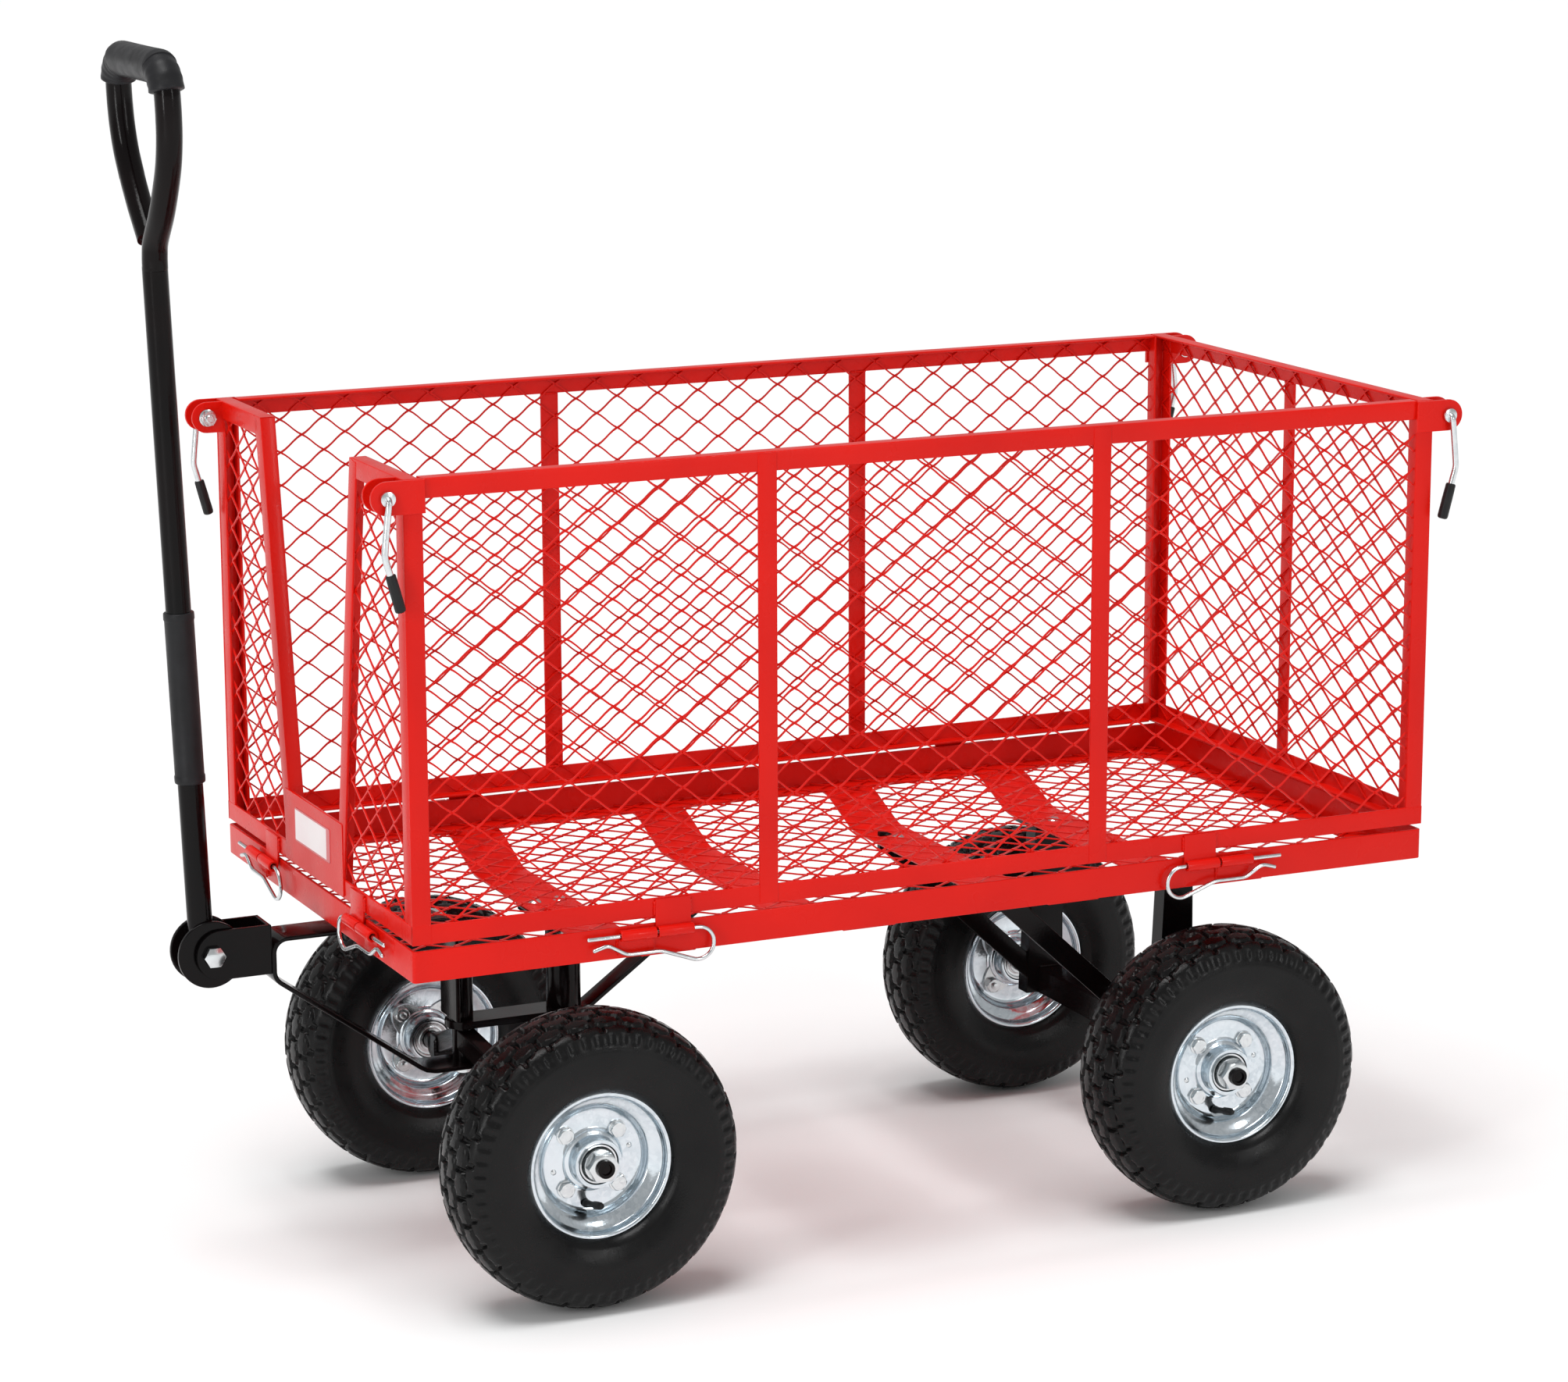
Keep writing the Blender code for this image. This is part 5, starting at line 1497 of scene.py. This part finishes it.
    def valve(self) -> list[Shell]:
        """Return the valve: a tapered stem, and a ribbed cap on its end."""
        x, y, z = self.centre
        foot = np.array([x - 0.006, y + self.out * 0.0075, z - 0.0385])
        tip = np.array([x - 0.001, y + self.out * 0.0320, z - 0.0345])
        share = np.array([0.0, 0.08, 0.12, 0.45, 0.52, 0.54])
        stem = extrude(circle(0.0036, 24), foot + (tip - foot) * share[:, None], *self.square_to(tip - foot),
                       np.array([1.0, 1.0, 0.82, 0.72, 0.72, 0.70]))
        ribs = circle(1.0, 48) * (0.0035 * (0.95 + 0.05 * np.cos(np.arange(48) * math.pi / 2)))[:, None]
        share = np.array([0.50, 0.52, 0.56, 0.84, 0.90, 0.93, 0.98, 1.0])
        cap = extrude(ribs, foot + (tip - foot) * share[:, None], *self.square_to(tip - foot),
                      np.array([0.80, 0.98, 1.0, 0.98, 0.92, 0.74, 0.68, 0.50]))
        return [stem, cap]

    @staticmethod
    def square_to(direction: Array) -> tuple[Array, Array]:
        """Return two directions square to one."""
        first = unit(np.cross(direction, (0.0, 0.0, 1.0)))
        return first, unit(np.cross(direction, first))

    def build(self) -> None:
        """Make the wheel's pieces."""
        heads, nuts = self.fasteners()
        rows = (("tyre_rubber_", [self.tyre()], TYRE, "tyre_", 50),
                ("rim_steel_", [self.rim()], ZINC, "rim_", 50),
                ("rim_bolts_", heads, ZINC_DULL, "", 38),
                ("back_plate_", [self.back_plate()] + nuts, ZINC_DULL, "hub_plate_", 38),
                ("bearing_race_", self.bearing(), ZINC_DULL, "bearing_", 38),
                ("valve_stem_", self.valve(), VALVE_BLACK, "valve_", 38))
        for start, shells, finish, node, sharp in rows:
            stands_for = (node + self.name,) if node else ()
            make_piece(start + self.name, shells, finish, self.body, stands_for, sharp)

    def axle_end(self, body: str, finish: Finish) -> None:
        """Make the nut with its washer, and the threaded end of the axle that it is on."""
        low, high = self.across(0.0250, 0.0360)
        washer = self.across(0.0235, 0.0255)
        shells = [hexagon(self.centre, Axis.Y, 0.0240, low, high, 0.0080),
                  disc(self.centre, Axis.Y, 0.0139, *washer, 0.0004, 0.0082)]
        make_piece("axle_fastener_" + self.name, shells, ZINC_DULL, body, ("axle_nut_" + self.name,))
        tube = np.array([(0.0350, 0.0078), (0.0400, 0.0078), (0.0402, 0.0070), (0.0400, 0.0050),
                         (0.0385, 0.0046), (0.0350, 0.0044)])
        ends = [lathe(tube[:, 0] * self.out, tube[:, 1], self.centre, Axis.Y, 32, hollow=True),
                lathe(np.array([0.0384, 0.0388]) * self.out, [0.0047, 0.0020], self.centre, Axis.Y, 24),
                lathe(np.array([-0.0640, 0.0360]) * self.out, [0.0079, 0.0079], self.centre, Axis.Y, 32)]
        make_piece("axle_end_" + self.name, ends, finish, body)


# ---------------------------------------------------------------- steering and supports

@dataclass(frozen=True)
class FrontAxle:
    """The steered frame: a folded tongue with a clevis, kingpin tubes and two square legs."""

    layout: Layout
    kingpin_x: float = -0.351
    axle_x: float = -0.315
    tongue_width: float = 0.040
    tongue_thickness: float = 0.004
    tube_radius: float = 0.0095

    def tongue(self) -> Shell:
        """Return the tongue: a flat bar from the upper tube round the nose and back under the lower one."""
        x = self.kingpin_x - self.tube_radius - 0.0015
        top = [(x, 0.2060), (x, 0.2860), (x - 0.0015, 0.2940), (x - 0.0055, 0.2985), (x - 0.013, 0.3000)]
        nose, chin = arc((-0.517, 0.288), 0.012, 90, 180, 8), arc((-0.515, 0.272), 0.014, 184, 236, 7)
        low = [(-0.398, 0.1690), (-0.392, 0.1655), (-0.384, 0.1637), (-0.378, 0.1635), (-0.329, 0.1635)]
        line = np.vstack([top, nose, chin, low])
        path = self.layout.shift(np.column_stack([line[:, 0], np.zeros(len(line)), line[:, 1]]))
        return carried(slab_section(self.tongue_thickness, self.tongue_width, 0.0012), path, (0, 1, 0))

    def tubes(self) -> list[Shell]:
        """Return the two kingpin tubes."""
        centre = self.layout.shift((self.kingpin_x, 0.0, 0.0))
        shells = []
        for low, high in ((0.2038, 0.2430), (0.1637, 0.1967)):
            outline = [(low, 0.0058), (low, self.tube_radius), (high, self.tube_radius), (high, 0.0058)]
            ring = rounded(outline, 0.0006)
            shells.append(lathe(ring[:, 0], ring[:, 1], centre, Axis.Z, 40, hollow=True))
        return shells

    def leg(self, side: int) -> list[Shell]:
        """Return one leg with its end block, its hub and a weld seam."""
        start = self.layout.shift((self.kingpin_x, side * 0.004, 0.1862))
        end = self.layout.shift((self.axle_x, side * 0.146, 0.1360))
        leg = extrude(slab_section(0.016, 0.019, 0.0018), np.stack([start, end]), (1, 0, 0), (0, 0, 1))
        steps = (0.136, 0.1364, 0.1496, 0.150)
        block_path = self.layout.shift([(self.axle_x, side * step, 0.1318) for step in steps])
        block = extrude(slab_section(0.024, 0.0295, 0.0022), block_path, (1, 0, 0), (0, 0, 1),
                        np.array([0.97, 1, 1, 0.97]))
        hub = lathe(np.array([0.149, 0.156, 0.158]) * side, [0.0120, 0.0120, 0.0105],
                    self.layout.shift((self.axle_x, 0.0, 0.130)), Axis.Y, 32)
        foot = self.layout.shift((self.axle_x - 0.012, side * 0.1355, 0.1200))
        head = self.layout.shift((self.axle_x - 0.012, side * 0.1355, 0.1440))
        return [leg, block, hub, weld_bead(foot, head, 0.0018)]

    def clevis(self) -> list[Shell]:
        """Return the clevis: a back plate with two rounded cheeks, bent from one sheet."""
        nose = arc((-0.576 + self.layout.centre_x, 0.292), 0.0218, 270, 90, 17)
        back = -0.5312 + self.layout.centre_x
        outline = np.vstack([[(back, 0.2702)], nose, [(back, 0.3138)]])
        shells = []
        for side in (-1, 1):
            low, high = sorted((-side * 0.0152, -side * 0.0187))
            shells.append(plate(outline, np.zeros(3), Axis.X.along, Axis.Z.along, (low, high), 0.0006))
        path = np.array([(back - 0.0012, -0.0182, 0.292), (back - 0.0012, 0.0182, 0.292)])
        shells.append(extrude(slab_section(0.0034, 0.0436, 0.0008), path, (1, 0, 0), (0, 0, 1)))
        return shells

    def kingpin(self) -> list[Shell]:
        """Return the kingpin bolt with its washer, nut, threaded end and head."""
        centre = self.layout.shift((self.kingpin_x, 0.0, 0.0))
        return [lathe([0.1612, 0.2550], [0.0050, 0.0050], centre, Axis.Z, 24),
                thread(centre, Axis.Z, 0.0050, 0.2545, 0.2609),
                disc(centre, Axis.Z, 0.0087, 0.2433, 0.2451, 0.0004),
                hexagon(centre, Axis.Z, 0.0145, 0.2449, 0.2546),
                hexagon(centre, Axis.Z, 0.0145, 0.1548, 0.1612)]

    def pivot_bolt(self) -> list[Shell]:
        """Return the handle's pivot bolt with its head, nut and threaded end."""
        centre = self.layout.shift((-0.583, 0.0, 0.292))
        return [lathe([-0.0190, 0.0270], [0.0050, 0.0050], centre, Axis.Y, 24),
                thread(centre, Axis.Y, 0.0050, 0.0268, 0.0296),
                hexagon(centre, Axis.Y, 0.0165, -0.0247, -0.0190),
                hexagon(centre, Axis.Y, 0.0165, 0.0192, 0.0272)]

    def build(self) -> None:
        """Make the steered pieces."""
        shells = [self.tongue()] + self.tubes() + self.leg(-1) + self.leg(1) + self.clevis()
        make_piece("steering_frame", shells, BLACK_GLOSS, "front_axle", ("front_axle",))
        make_piece("kingpin", self.kingpin(), ZINC_DULL, "front_axle", ("kingpin_bolt",))
        make_piece("pivot_pin", self.pivot_bolt(), ZINC_DULL, "front_axle", ("handle_bolt",))


@dataclass(frozen=True)
class Supports:
    """What hangs fixed under the tray: the front post, its yoke bar and brace, and the rear axle frame."""

    layout: Layout
    post_x: float = -0.255
    kingpin_x: float = -0.351
    under: float = 0.2877

    def box(self, low: tuple[float, float, float], high: tuple[float, float, float],
            corner: float = 0.001) -> Shell:
        """Return a box with softened edges."""
        low, high = self.layout.shift(low), self.layout.shift(high)
        middle, size = (low + high) / 2, high - low
        path = np.stack([middle] * 4)
        path[:, 2] = [low[2], low[2] + 0.0004, high[2] - 0.0004, high[2]]
        grow = 1 - np.array([1, 0, 0, 1]) * 0.0008 / max(size[0], size[1])
        return extrude(slab_section(size[0], size[1], corner), path, (1, 0, 0), (0, 1, 0), grow)

    def strip(self, line: Array, width: float, y: float, thickness: float) -> Shell:
        """Return a flat bar on edge or flat, along (x, z) points at one place across."""
        line = rounded(line, 0.006, 4, closed=False)
        path = self.layout.shift(np.column_stack([line[:, 0], np.full(len(line), y), line[:, 1]]))
        return carried(slab_section(thickness, width, 0.0009), path, (0, 1, 0))

    def front(self) -> list[Shell]:
        """Return the front post, its top plate, the yoke bar and the brace."""
        centre = self.layout.shift((self.post_x, 0.0, 0.0))
        post = lathe([0.1982, 0.1990, 0.2850, 0.2857], [0.0150, 0.0155, 0.0155, 0.0150], centre, Axis.Z, 48)
        tip = arc((self.kingpin_x + self.layout.centre_x, 0.0), 0.016, 90, 270, 13)
        back = self.post_x + 0.012 + self.layout.centre_x
        outline = np.vstack([tip, [(back, -0.016), (back, 0.016)]])
        yoke = plate(outline, np.zeros(3), Axis.X.along, Axis.Y.along, (0.1970, 0.2035), 0.0007)
        line = [(-0.251, 0.2002), (-0.236, 0.2008), (-0.118, 0.2852), (-0.046, 0.2855)]
        brace = self.strip(line, 0.022, 0.0, 0.004)
        seam = lathe([0.2826, 0.2838, 0.2846], [0.0162, 0.0178, 0.0190], centre, Axis.Z, 48)
        return [self.box((-0.280, -0.045, 0.2837), (-0.230, 0.045, self.under)), post, yoke, brace, seam]

    def rear(self) -> list[Shell]:
        """Return the rear beam, its tapered uprights, caps, braces and feet."""
        beam_path = self.layout.shift([(0.2986, -0.130, 0.1295), (0.2986, 0.130, 0.1295)])
        shells = [extrude(slab_section(0.0252, 0.026, 0.0022), beam_path, (1, 0, 0), (0, 0, 1))]
        for side in (-1, 1):
            heights = np.array([0.1182, 0.2866])
            path = self.layout.shift([(0.2925, side * 0.125, heights[0]), (0.2955, side * 0.125, heights[1])])
            wide = np.array([0.0195, 0.0145])
            section = slab_section(2.0, 0.018, 0.0012)
            rings = path[:, None] + section[None, :, 0, None] * wide[:, None, None] * Axis.X.along
            shells.append(shell_of(rings + section[None, :, 1, None] * Axis.Y.along))
            brace = [(0.1160, 0.2852), (0.1235, 0.2850), (0.2800, 0.1400)]
            shells.append(self.strip(brace, 0.005, side * 0.121, 0.019))
            foot, cap = sorted((side * 0.095, side * 0.1225)), sorted((side * 0.098, side * 0.145))
            shells.append(self.box((0.1145, foot[0], 0.2837), (0.1450, foot[1], self.under)))
            shells.append(self.box((0.272, cap[0], 0.2839), (0.318, cap[1], self.under)))
            for x in (0.2805, 0.3100):
                ends = self.layout.shift([(x, side * 0.1165, 0.2834), (x, side * 0.1335, 0.2834)])
                shells.append(weld_bead(*ends, 0.0017))
            for z in (0.1432, 0.1168):
                ends = self.layout.shift([(0.287, side * 0.1155, z), (0.310, side * 0.1155, z)])
                shells.append(weld_bead(*ends, 0.0016))
        return shells

    def bolts(self) -> list[Shell]:
        """Return the nuts and bolt ends that hold the front plate and the rear caps to the straps."""
        shells = []
        spots = ((-0.267, 0.036), (-0.243, 0.036), (0.295, 0.1065), (0.130, 0.109))
        for x, y in [(x, side * y) for x, y in spots for side in (-1, 1)]:
            centre = self.layout.shift((x, y, 0.0))
            shells.append(hexagon(centre, Axis.Z, 0.010, 0.2788, 0.2838))
            shells.append(thread(centre, Axis.Z, 0.0029, 0.2790, 0.2764))
            dome, radii = [0.2903, 0.2908, 0.2926, 0.2933], [0.0062, 0.0062, 0.0046, 0.0015]
            shells.append(lathe(dome, radii, centre, Axis.Z, 24))
        return shells

    def build(self) -> None:
        """Make the fixed supports."""
        make_piece("front_post", self.front(), BLACK_GLOSS, "tray", ("front_support",))
        make_piece("rear_frame", self.rear(), BLACK_GLOSS, "tray", ("rear_axle_frame",))
        make_piece("support_bolts", self.bolts(), ZINC_DULL, "tray")


# ---------------------------------------------------------------- handle

@dataclass(frozen=True)
class Handle:
    """The pull handle: a bent tube that ends in a D-loop, a sleeve on the shaft and a grip on the loop."""

    layout: Layout
    pivot: tuple[float, float] = (-0.583, 0.292)
    lean: float = math.radians(2.05)
    tube_radius: float = 0.0108
    loop_half: float = 0.068
    loop_top: float = 0.757
    corner: float = 0.024
    grip_from: float = 0.7385
    grip_radius: float = 0.0146

    def at(self, along: Array, across: Array) -> Array:
        """Return points of the handle's plane: a distance up the shaft and one across."""
        along = np.asarray(along, float)
        x = self.pivot[0] - 0.0046 - along * math.sin(self.lean) + self.layout.centre_x
        z = self.pivot[1] + along * math.cos(self.lean)
        return np.stack([x, np.broadcast_to(across, x.shape), z], axis=-1)

    @property
    def normal(self) -> Array:
        """Return the normal of the handle's plane."""
        return np.array([math.cos(self.lean), 0.0, math.sin(self.lean)])

    def loop(self) -> Array:
        """Return the loop's line up one side, over the top and down the other, as (along, across)."""
        side = [(0.612, -0.0078), (0.636, -0.0300), (0.660, -0.0475), (0.680, -0.0590), (0.700, -0.0655),
                (0.718, -0.0678)]
        centre = (self.loop_top - self.corner, -(self.loop_half - self.corner))
        bend = arc(centre, self.corner, -90, 0, 8)
        near = np.vstack([side, bend])
        return np.vstack([near, (near * (1, -1))[::-1]])

    def tube(self) -> list[Shell]:
        """Return the tube, with its strut and its foot on the pivot."""
        line = self.loop()
        stem = [(0.0, 0.0), (0.2, 0.0), (0.4, 0.0), (0.570, 0.0), (0.588, -0.0008), (0.600, -0.0025)]
        keep = line[:-2]
        path = smooth_curve(np.vstack([stem, keep]), 6)
        tube = carried(circle(self.tube_radius, 28), self.at(path[:, 0], path[:, 1]), self.normal)
        strut = np.array([(0.668, 0.0525), (0.654, 0.0435), (0.636, 0.0300), (0.612, 0.0085)])
        foot = carried(circle(self.tube_radius * 0.99, 28), self.at(strut[:, 0], strut[:, 1]), self.normal)
        centre = np.array([self.pivot[0] + self.layout.centre_x, 0.0, self.pivot[1]])
        shells = [tube, foot]
        ring = rounded([(-0.0098, 0.0057), (-0.0098, 0.0150), (0.0098, 0.0150), (0.0098, 0.0057)], 0.0006)
        shells.append(lathe(ring[:, 0], ring[:, 1], centre, Axis.Y, 40, hollow=True))
        for side in (-1, 1):
            low, high = sorted((side * 0.0096, side * 0.0136))
            shells.append(disc(centre, Axis.Y, 0.0293, low, high, 0.0009, 0.0057))
        seam = self.at(np.array([0.606]), np.array([0.0]))[0]
        shells.append(weld_bead(seam + (-0.0085, 0.009, 0.006), seam + (0.0085, 0.009, 0.006), 0.0018))
        return shells

    def sleeve(self) -> list[Shell]:
        """Return the shaft's sleeve: a soft tube with a collar at each end."""
        along = np.array([0.150, 0.1506, 0.1525, 0.1560, 0.1568, 0.1576])
        along = np.append(along, [0.2904, 0.2912, 0.2920, 0.2955, 0.2974, 0.298])
        radius = np.array([0.0122, 0.0130, 0.0132, 0.0132, 0.0128, 0.0126])
        radius = np.append(radius, radius[::-1])
        return [carried(circle(1.0, 40), self.at(along, 0.0), self.normal, radius)]

    def grip(self) -> list[Shell]:
        """Return the foam grip along the loop's top and round both its corners."""
        line = smooth_curve(self.loop(), 10)
        kept = line[line[:, 0] > self.grip_from]
        path = np.vstack([kept[:1], kept, kept[-1:]])
        count = len(path)
        place = np.linspace(0.0, 1.0, count)
        fade = np.clip(np.minimum(place, 1 - place) * 18 + 0.82, 0.82, 1.0)
        grow = self.grip_radius * fade + 0.00015 * np.sin(place * 60)
        path = self.at(path[:, 0], path[:, 1])
        path[0] += unit(path[1] - path[2]) * 0.0008
        path[-1] += unit(path[-2] - path[-3]) * 0.0008
        return [carried(circle(1.0, 36), path, self.normal, grow)]

    def build(self) -> None:
        """Make the handle's pieces."""
        make_piece("handle_bar", self.tube(), BLACK_GLOSS, "handle", ("handle_tube",))
        make_piece("shaft_cover", self.sleeve(), FOAM, "handle", ("shaft_sleeve",))
        make_piece("loop_grip", self.grip(), FOAM, "handle", ("top_grip",))


# ---------------------------------------------------------------- studio

@dataclass(frozen=True)
class SoftBox:
    """A flat square light."""

    name: str
    place: tuple[float, float, float]
    aim: tuple[float, float, float]
    size: tuple[float, float]
    power: float

    def build(self) -> None:
        """Add the light, turned towards its aim."""
        made = bpy.data.lights.new(self.name, "AREA")
        made.shape = "RECTANGLE"
        made.size, made.size_y = self.size
        made.energy = self.power
        lamp = bpy.data.objects.new(self.name, made)
        lamp.location = self.place
        lamp.rotation_euler = (Vector(self.aim) - Vector(self.place)).to_track_quat("-Z", "Y").to_euler()
        bpy.context.scene.collection.objects.link(lamp)


@dataclass(frozen=True)
class Studio:
    """A pale floor, soft light and the camera."""

    turned: float = 0.4283
    lowered: float = 0.2244
    overhead: float = 2.2
    location: tuple[float, float, float] = (-1.6332, -3.583, 1.3301)
    roll: float = -0.0039
    lens: float = 103.37
    shift: tuple[float, float] = (0.0117, 0.0274)

    def floor(self) -> None:
        """Add the floor: a wide level sheet whose spacing widens as t^3 away from the cart."""
        place = np.linspace(-1.0, 1.0, 25) ** 3 * 60.0
        across, along = np.meshgrid(place, place)
        grid = np.stack([across, along, np.zeros_like(across)], axis=-1)
        row, side = np.meshgrid(np.arange(24), np.arange(24), indexing="ij")
        first = row * 25 + side
        quads = np.stack([first, first + 1, first + 26, first + 25], axis=-1)
        mesh = bpy.data.meshes.new("pale_floor")
        mesh.from_pydata(grid.reshape(-1, 3).tolist(), [], quads.reshape(-1, 4).tolist())
        made = bpy.data.objects.new("pale_floor", mesh)
        made.location.z = CAD_BOX[0][2] - 0.0005
        material = bpy.data.materials.new("pale_floor")
        material.use_nodes = True
        shader = material.node_tree.nodes["Principled BSDF"]
        shader.inputs["Base Color"].default_value = (0.90, 0.90, 0.90, 1.0)
        shader.inputs["Roughness"].default_value = 0.9
        shader.inputs["Specular IOR Level"].default_value = 0.1
        mesh.materials.append(material)
        bpy.context.scene.collection.objects.link(made)

    def world(self) -> None:
        """Set an even white surround."""
        made = bpy.data.worlds.new("studio")
        made.use_nodes = True
        made.node_tree.nodes["Background"].inputs["Color"].default_value = (1.0, 1.0, 1.0, 1.0)
        made.node_tree.nodes["Background"].inputs["Strength"].default_value = 0.46
        bpy.context.scene.world = made

    def sun(self) -> None:
        """Add a wide overhead light, so that the shadow lies soft under the cart."""
        made = bpy.data.lights.new("overhead", "SUN")
        made.energy = self.overhead
        made.angle = math.radians(32)
        lamp = bpy.data.objects.new("overhead", made)
        lamp.rotation_euler = Vector((0.22, 0.10, -1.0)).to_track_quat("-Z", "Y").to_euler()
        bpy.context.scene.collection.objects.link(lamp)

    def camera(self) -> None:
        """Add the camera: its direction is (cos e sin a, cos e cos a, -sin e)."""
        made = bpy.data.cameras.new("camera")
        made.sensor_width = 36.0
        made.lens = self.lens
        made.shift_x, made.shift_y = self.shift
        made.clip_end = 60.0
        seen = bpy.data.objects.new("camera", made)
        reach = math.cos(self.lowered)
        forward = Vector((reach * math.sin(self.turned), reach * math.cos(self.turned),
                          -math.sin(self.lowered)))
        matrix = forward.to_track_quat("-Z", "Y").to_matrix() @ Matrix.Rotation(self.roll, 3, "Z")
        seen.matrix_world = Matrix.Translation(self.location) @ matrix.to_4x4()
        bpy.context.scene.collection.objects.link(seen)
        bpy.context.scene.camera = seen

    def build(self) -> None:
        """Make the studio."""
        self.floor()
        self.world()
        self.sun()
        for light in (SoftBox("left", (-3.4, -2.0, 1.5), (0.0, 0.0, 0.4), (0.45, 2.2), 34.0),
                      SoftBox("right", (1.6, -4.2, 1.9), (0.0, 0.0, 0.4), (0.45, 2.0), 24.0)):
            light.build()
        self.camera()
        bpy.context.scene.view_settings.view_transform = "Standard"


# ---------------------------------------------------------------- assembly

def cart_edges(layout: Layout) -> tuple[Edge, Edge, Edge, Edge]:
    """Return the tray's four edges."""
    side, end = 0.270, 0.129
    return (Edge("left", Axis.X, -1, layout.half_width, layout.half_length, side, layout.centre_x),
            Edge("right", Axis.X, 1, layout.half_width, layout.half_length, side, layout.centre_x),
            Edge("front", Axis.Y, -1, layout.half_length, layout.half_width, end, layout.centre_x),
            Edge("rear", Axis.Y, 1, layout.half_length, layout.half_width, end, layout.centre_x))


def main() -> None:
    """Build the cart and its studio."""
    layout = Layout.from_frame()
    edges = cart_edges(layout)
    left, right, front, rear = edges
    end_half = layout.half_width - BAR_WALL - 0.0005
    Tray(layout, edges).build()
    for edge in (left, right):
        SidePanel(layout, edge, layout.half_length).build()
    NotchedPanel(layout, front, end_half).build()
    EndPanel(layout, rear, end_half, posts=(0.0,)).build()
    for edge in edges:
        for side in (-1, 1):
            SpringClip(layout, edge, side).build()
    for is_front in (True, False):
        for is_left in (True, False):
            Latch(layout, is_front, is_left).build()
            name = ("front" if is_front else "rear") + ("_left" if is_left else "_right")
            low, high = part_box("tyre_" + name)
            wheel = Wheel(name, tuple((low + high) / 2))
            wheel.build()
            wheel.axle_end("front_axle" if is_front else "tray", BLACK_GLOSS)
    FrontAxle(layout).build()
    Supports(layout).build()
    Handle(layout).build()
    Studio().build()


if __name__ == "__main__":
    logging.basicConfig(level=logging.INFO, format="%(name)s: %(message)s")
    main()
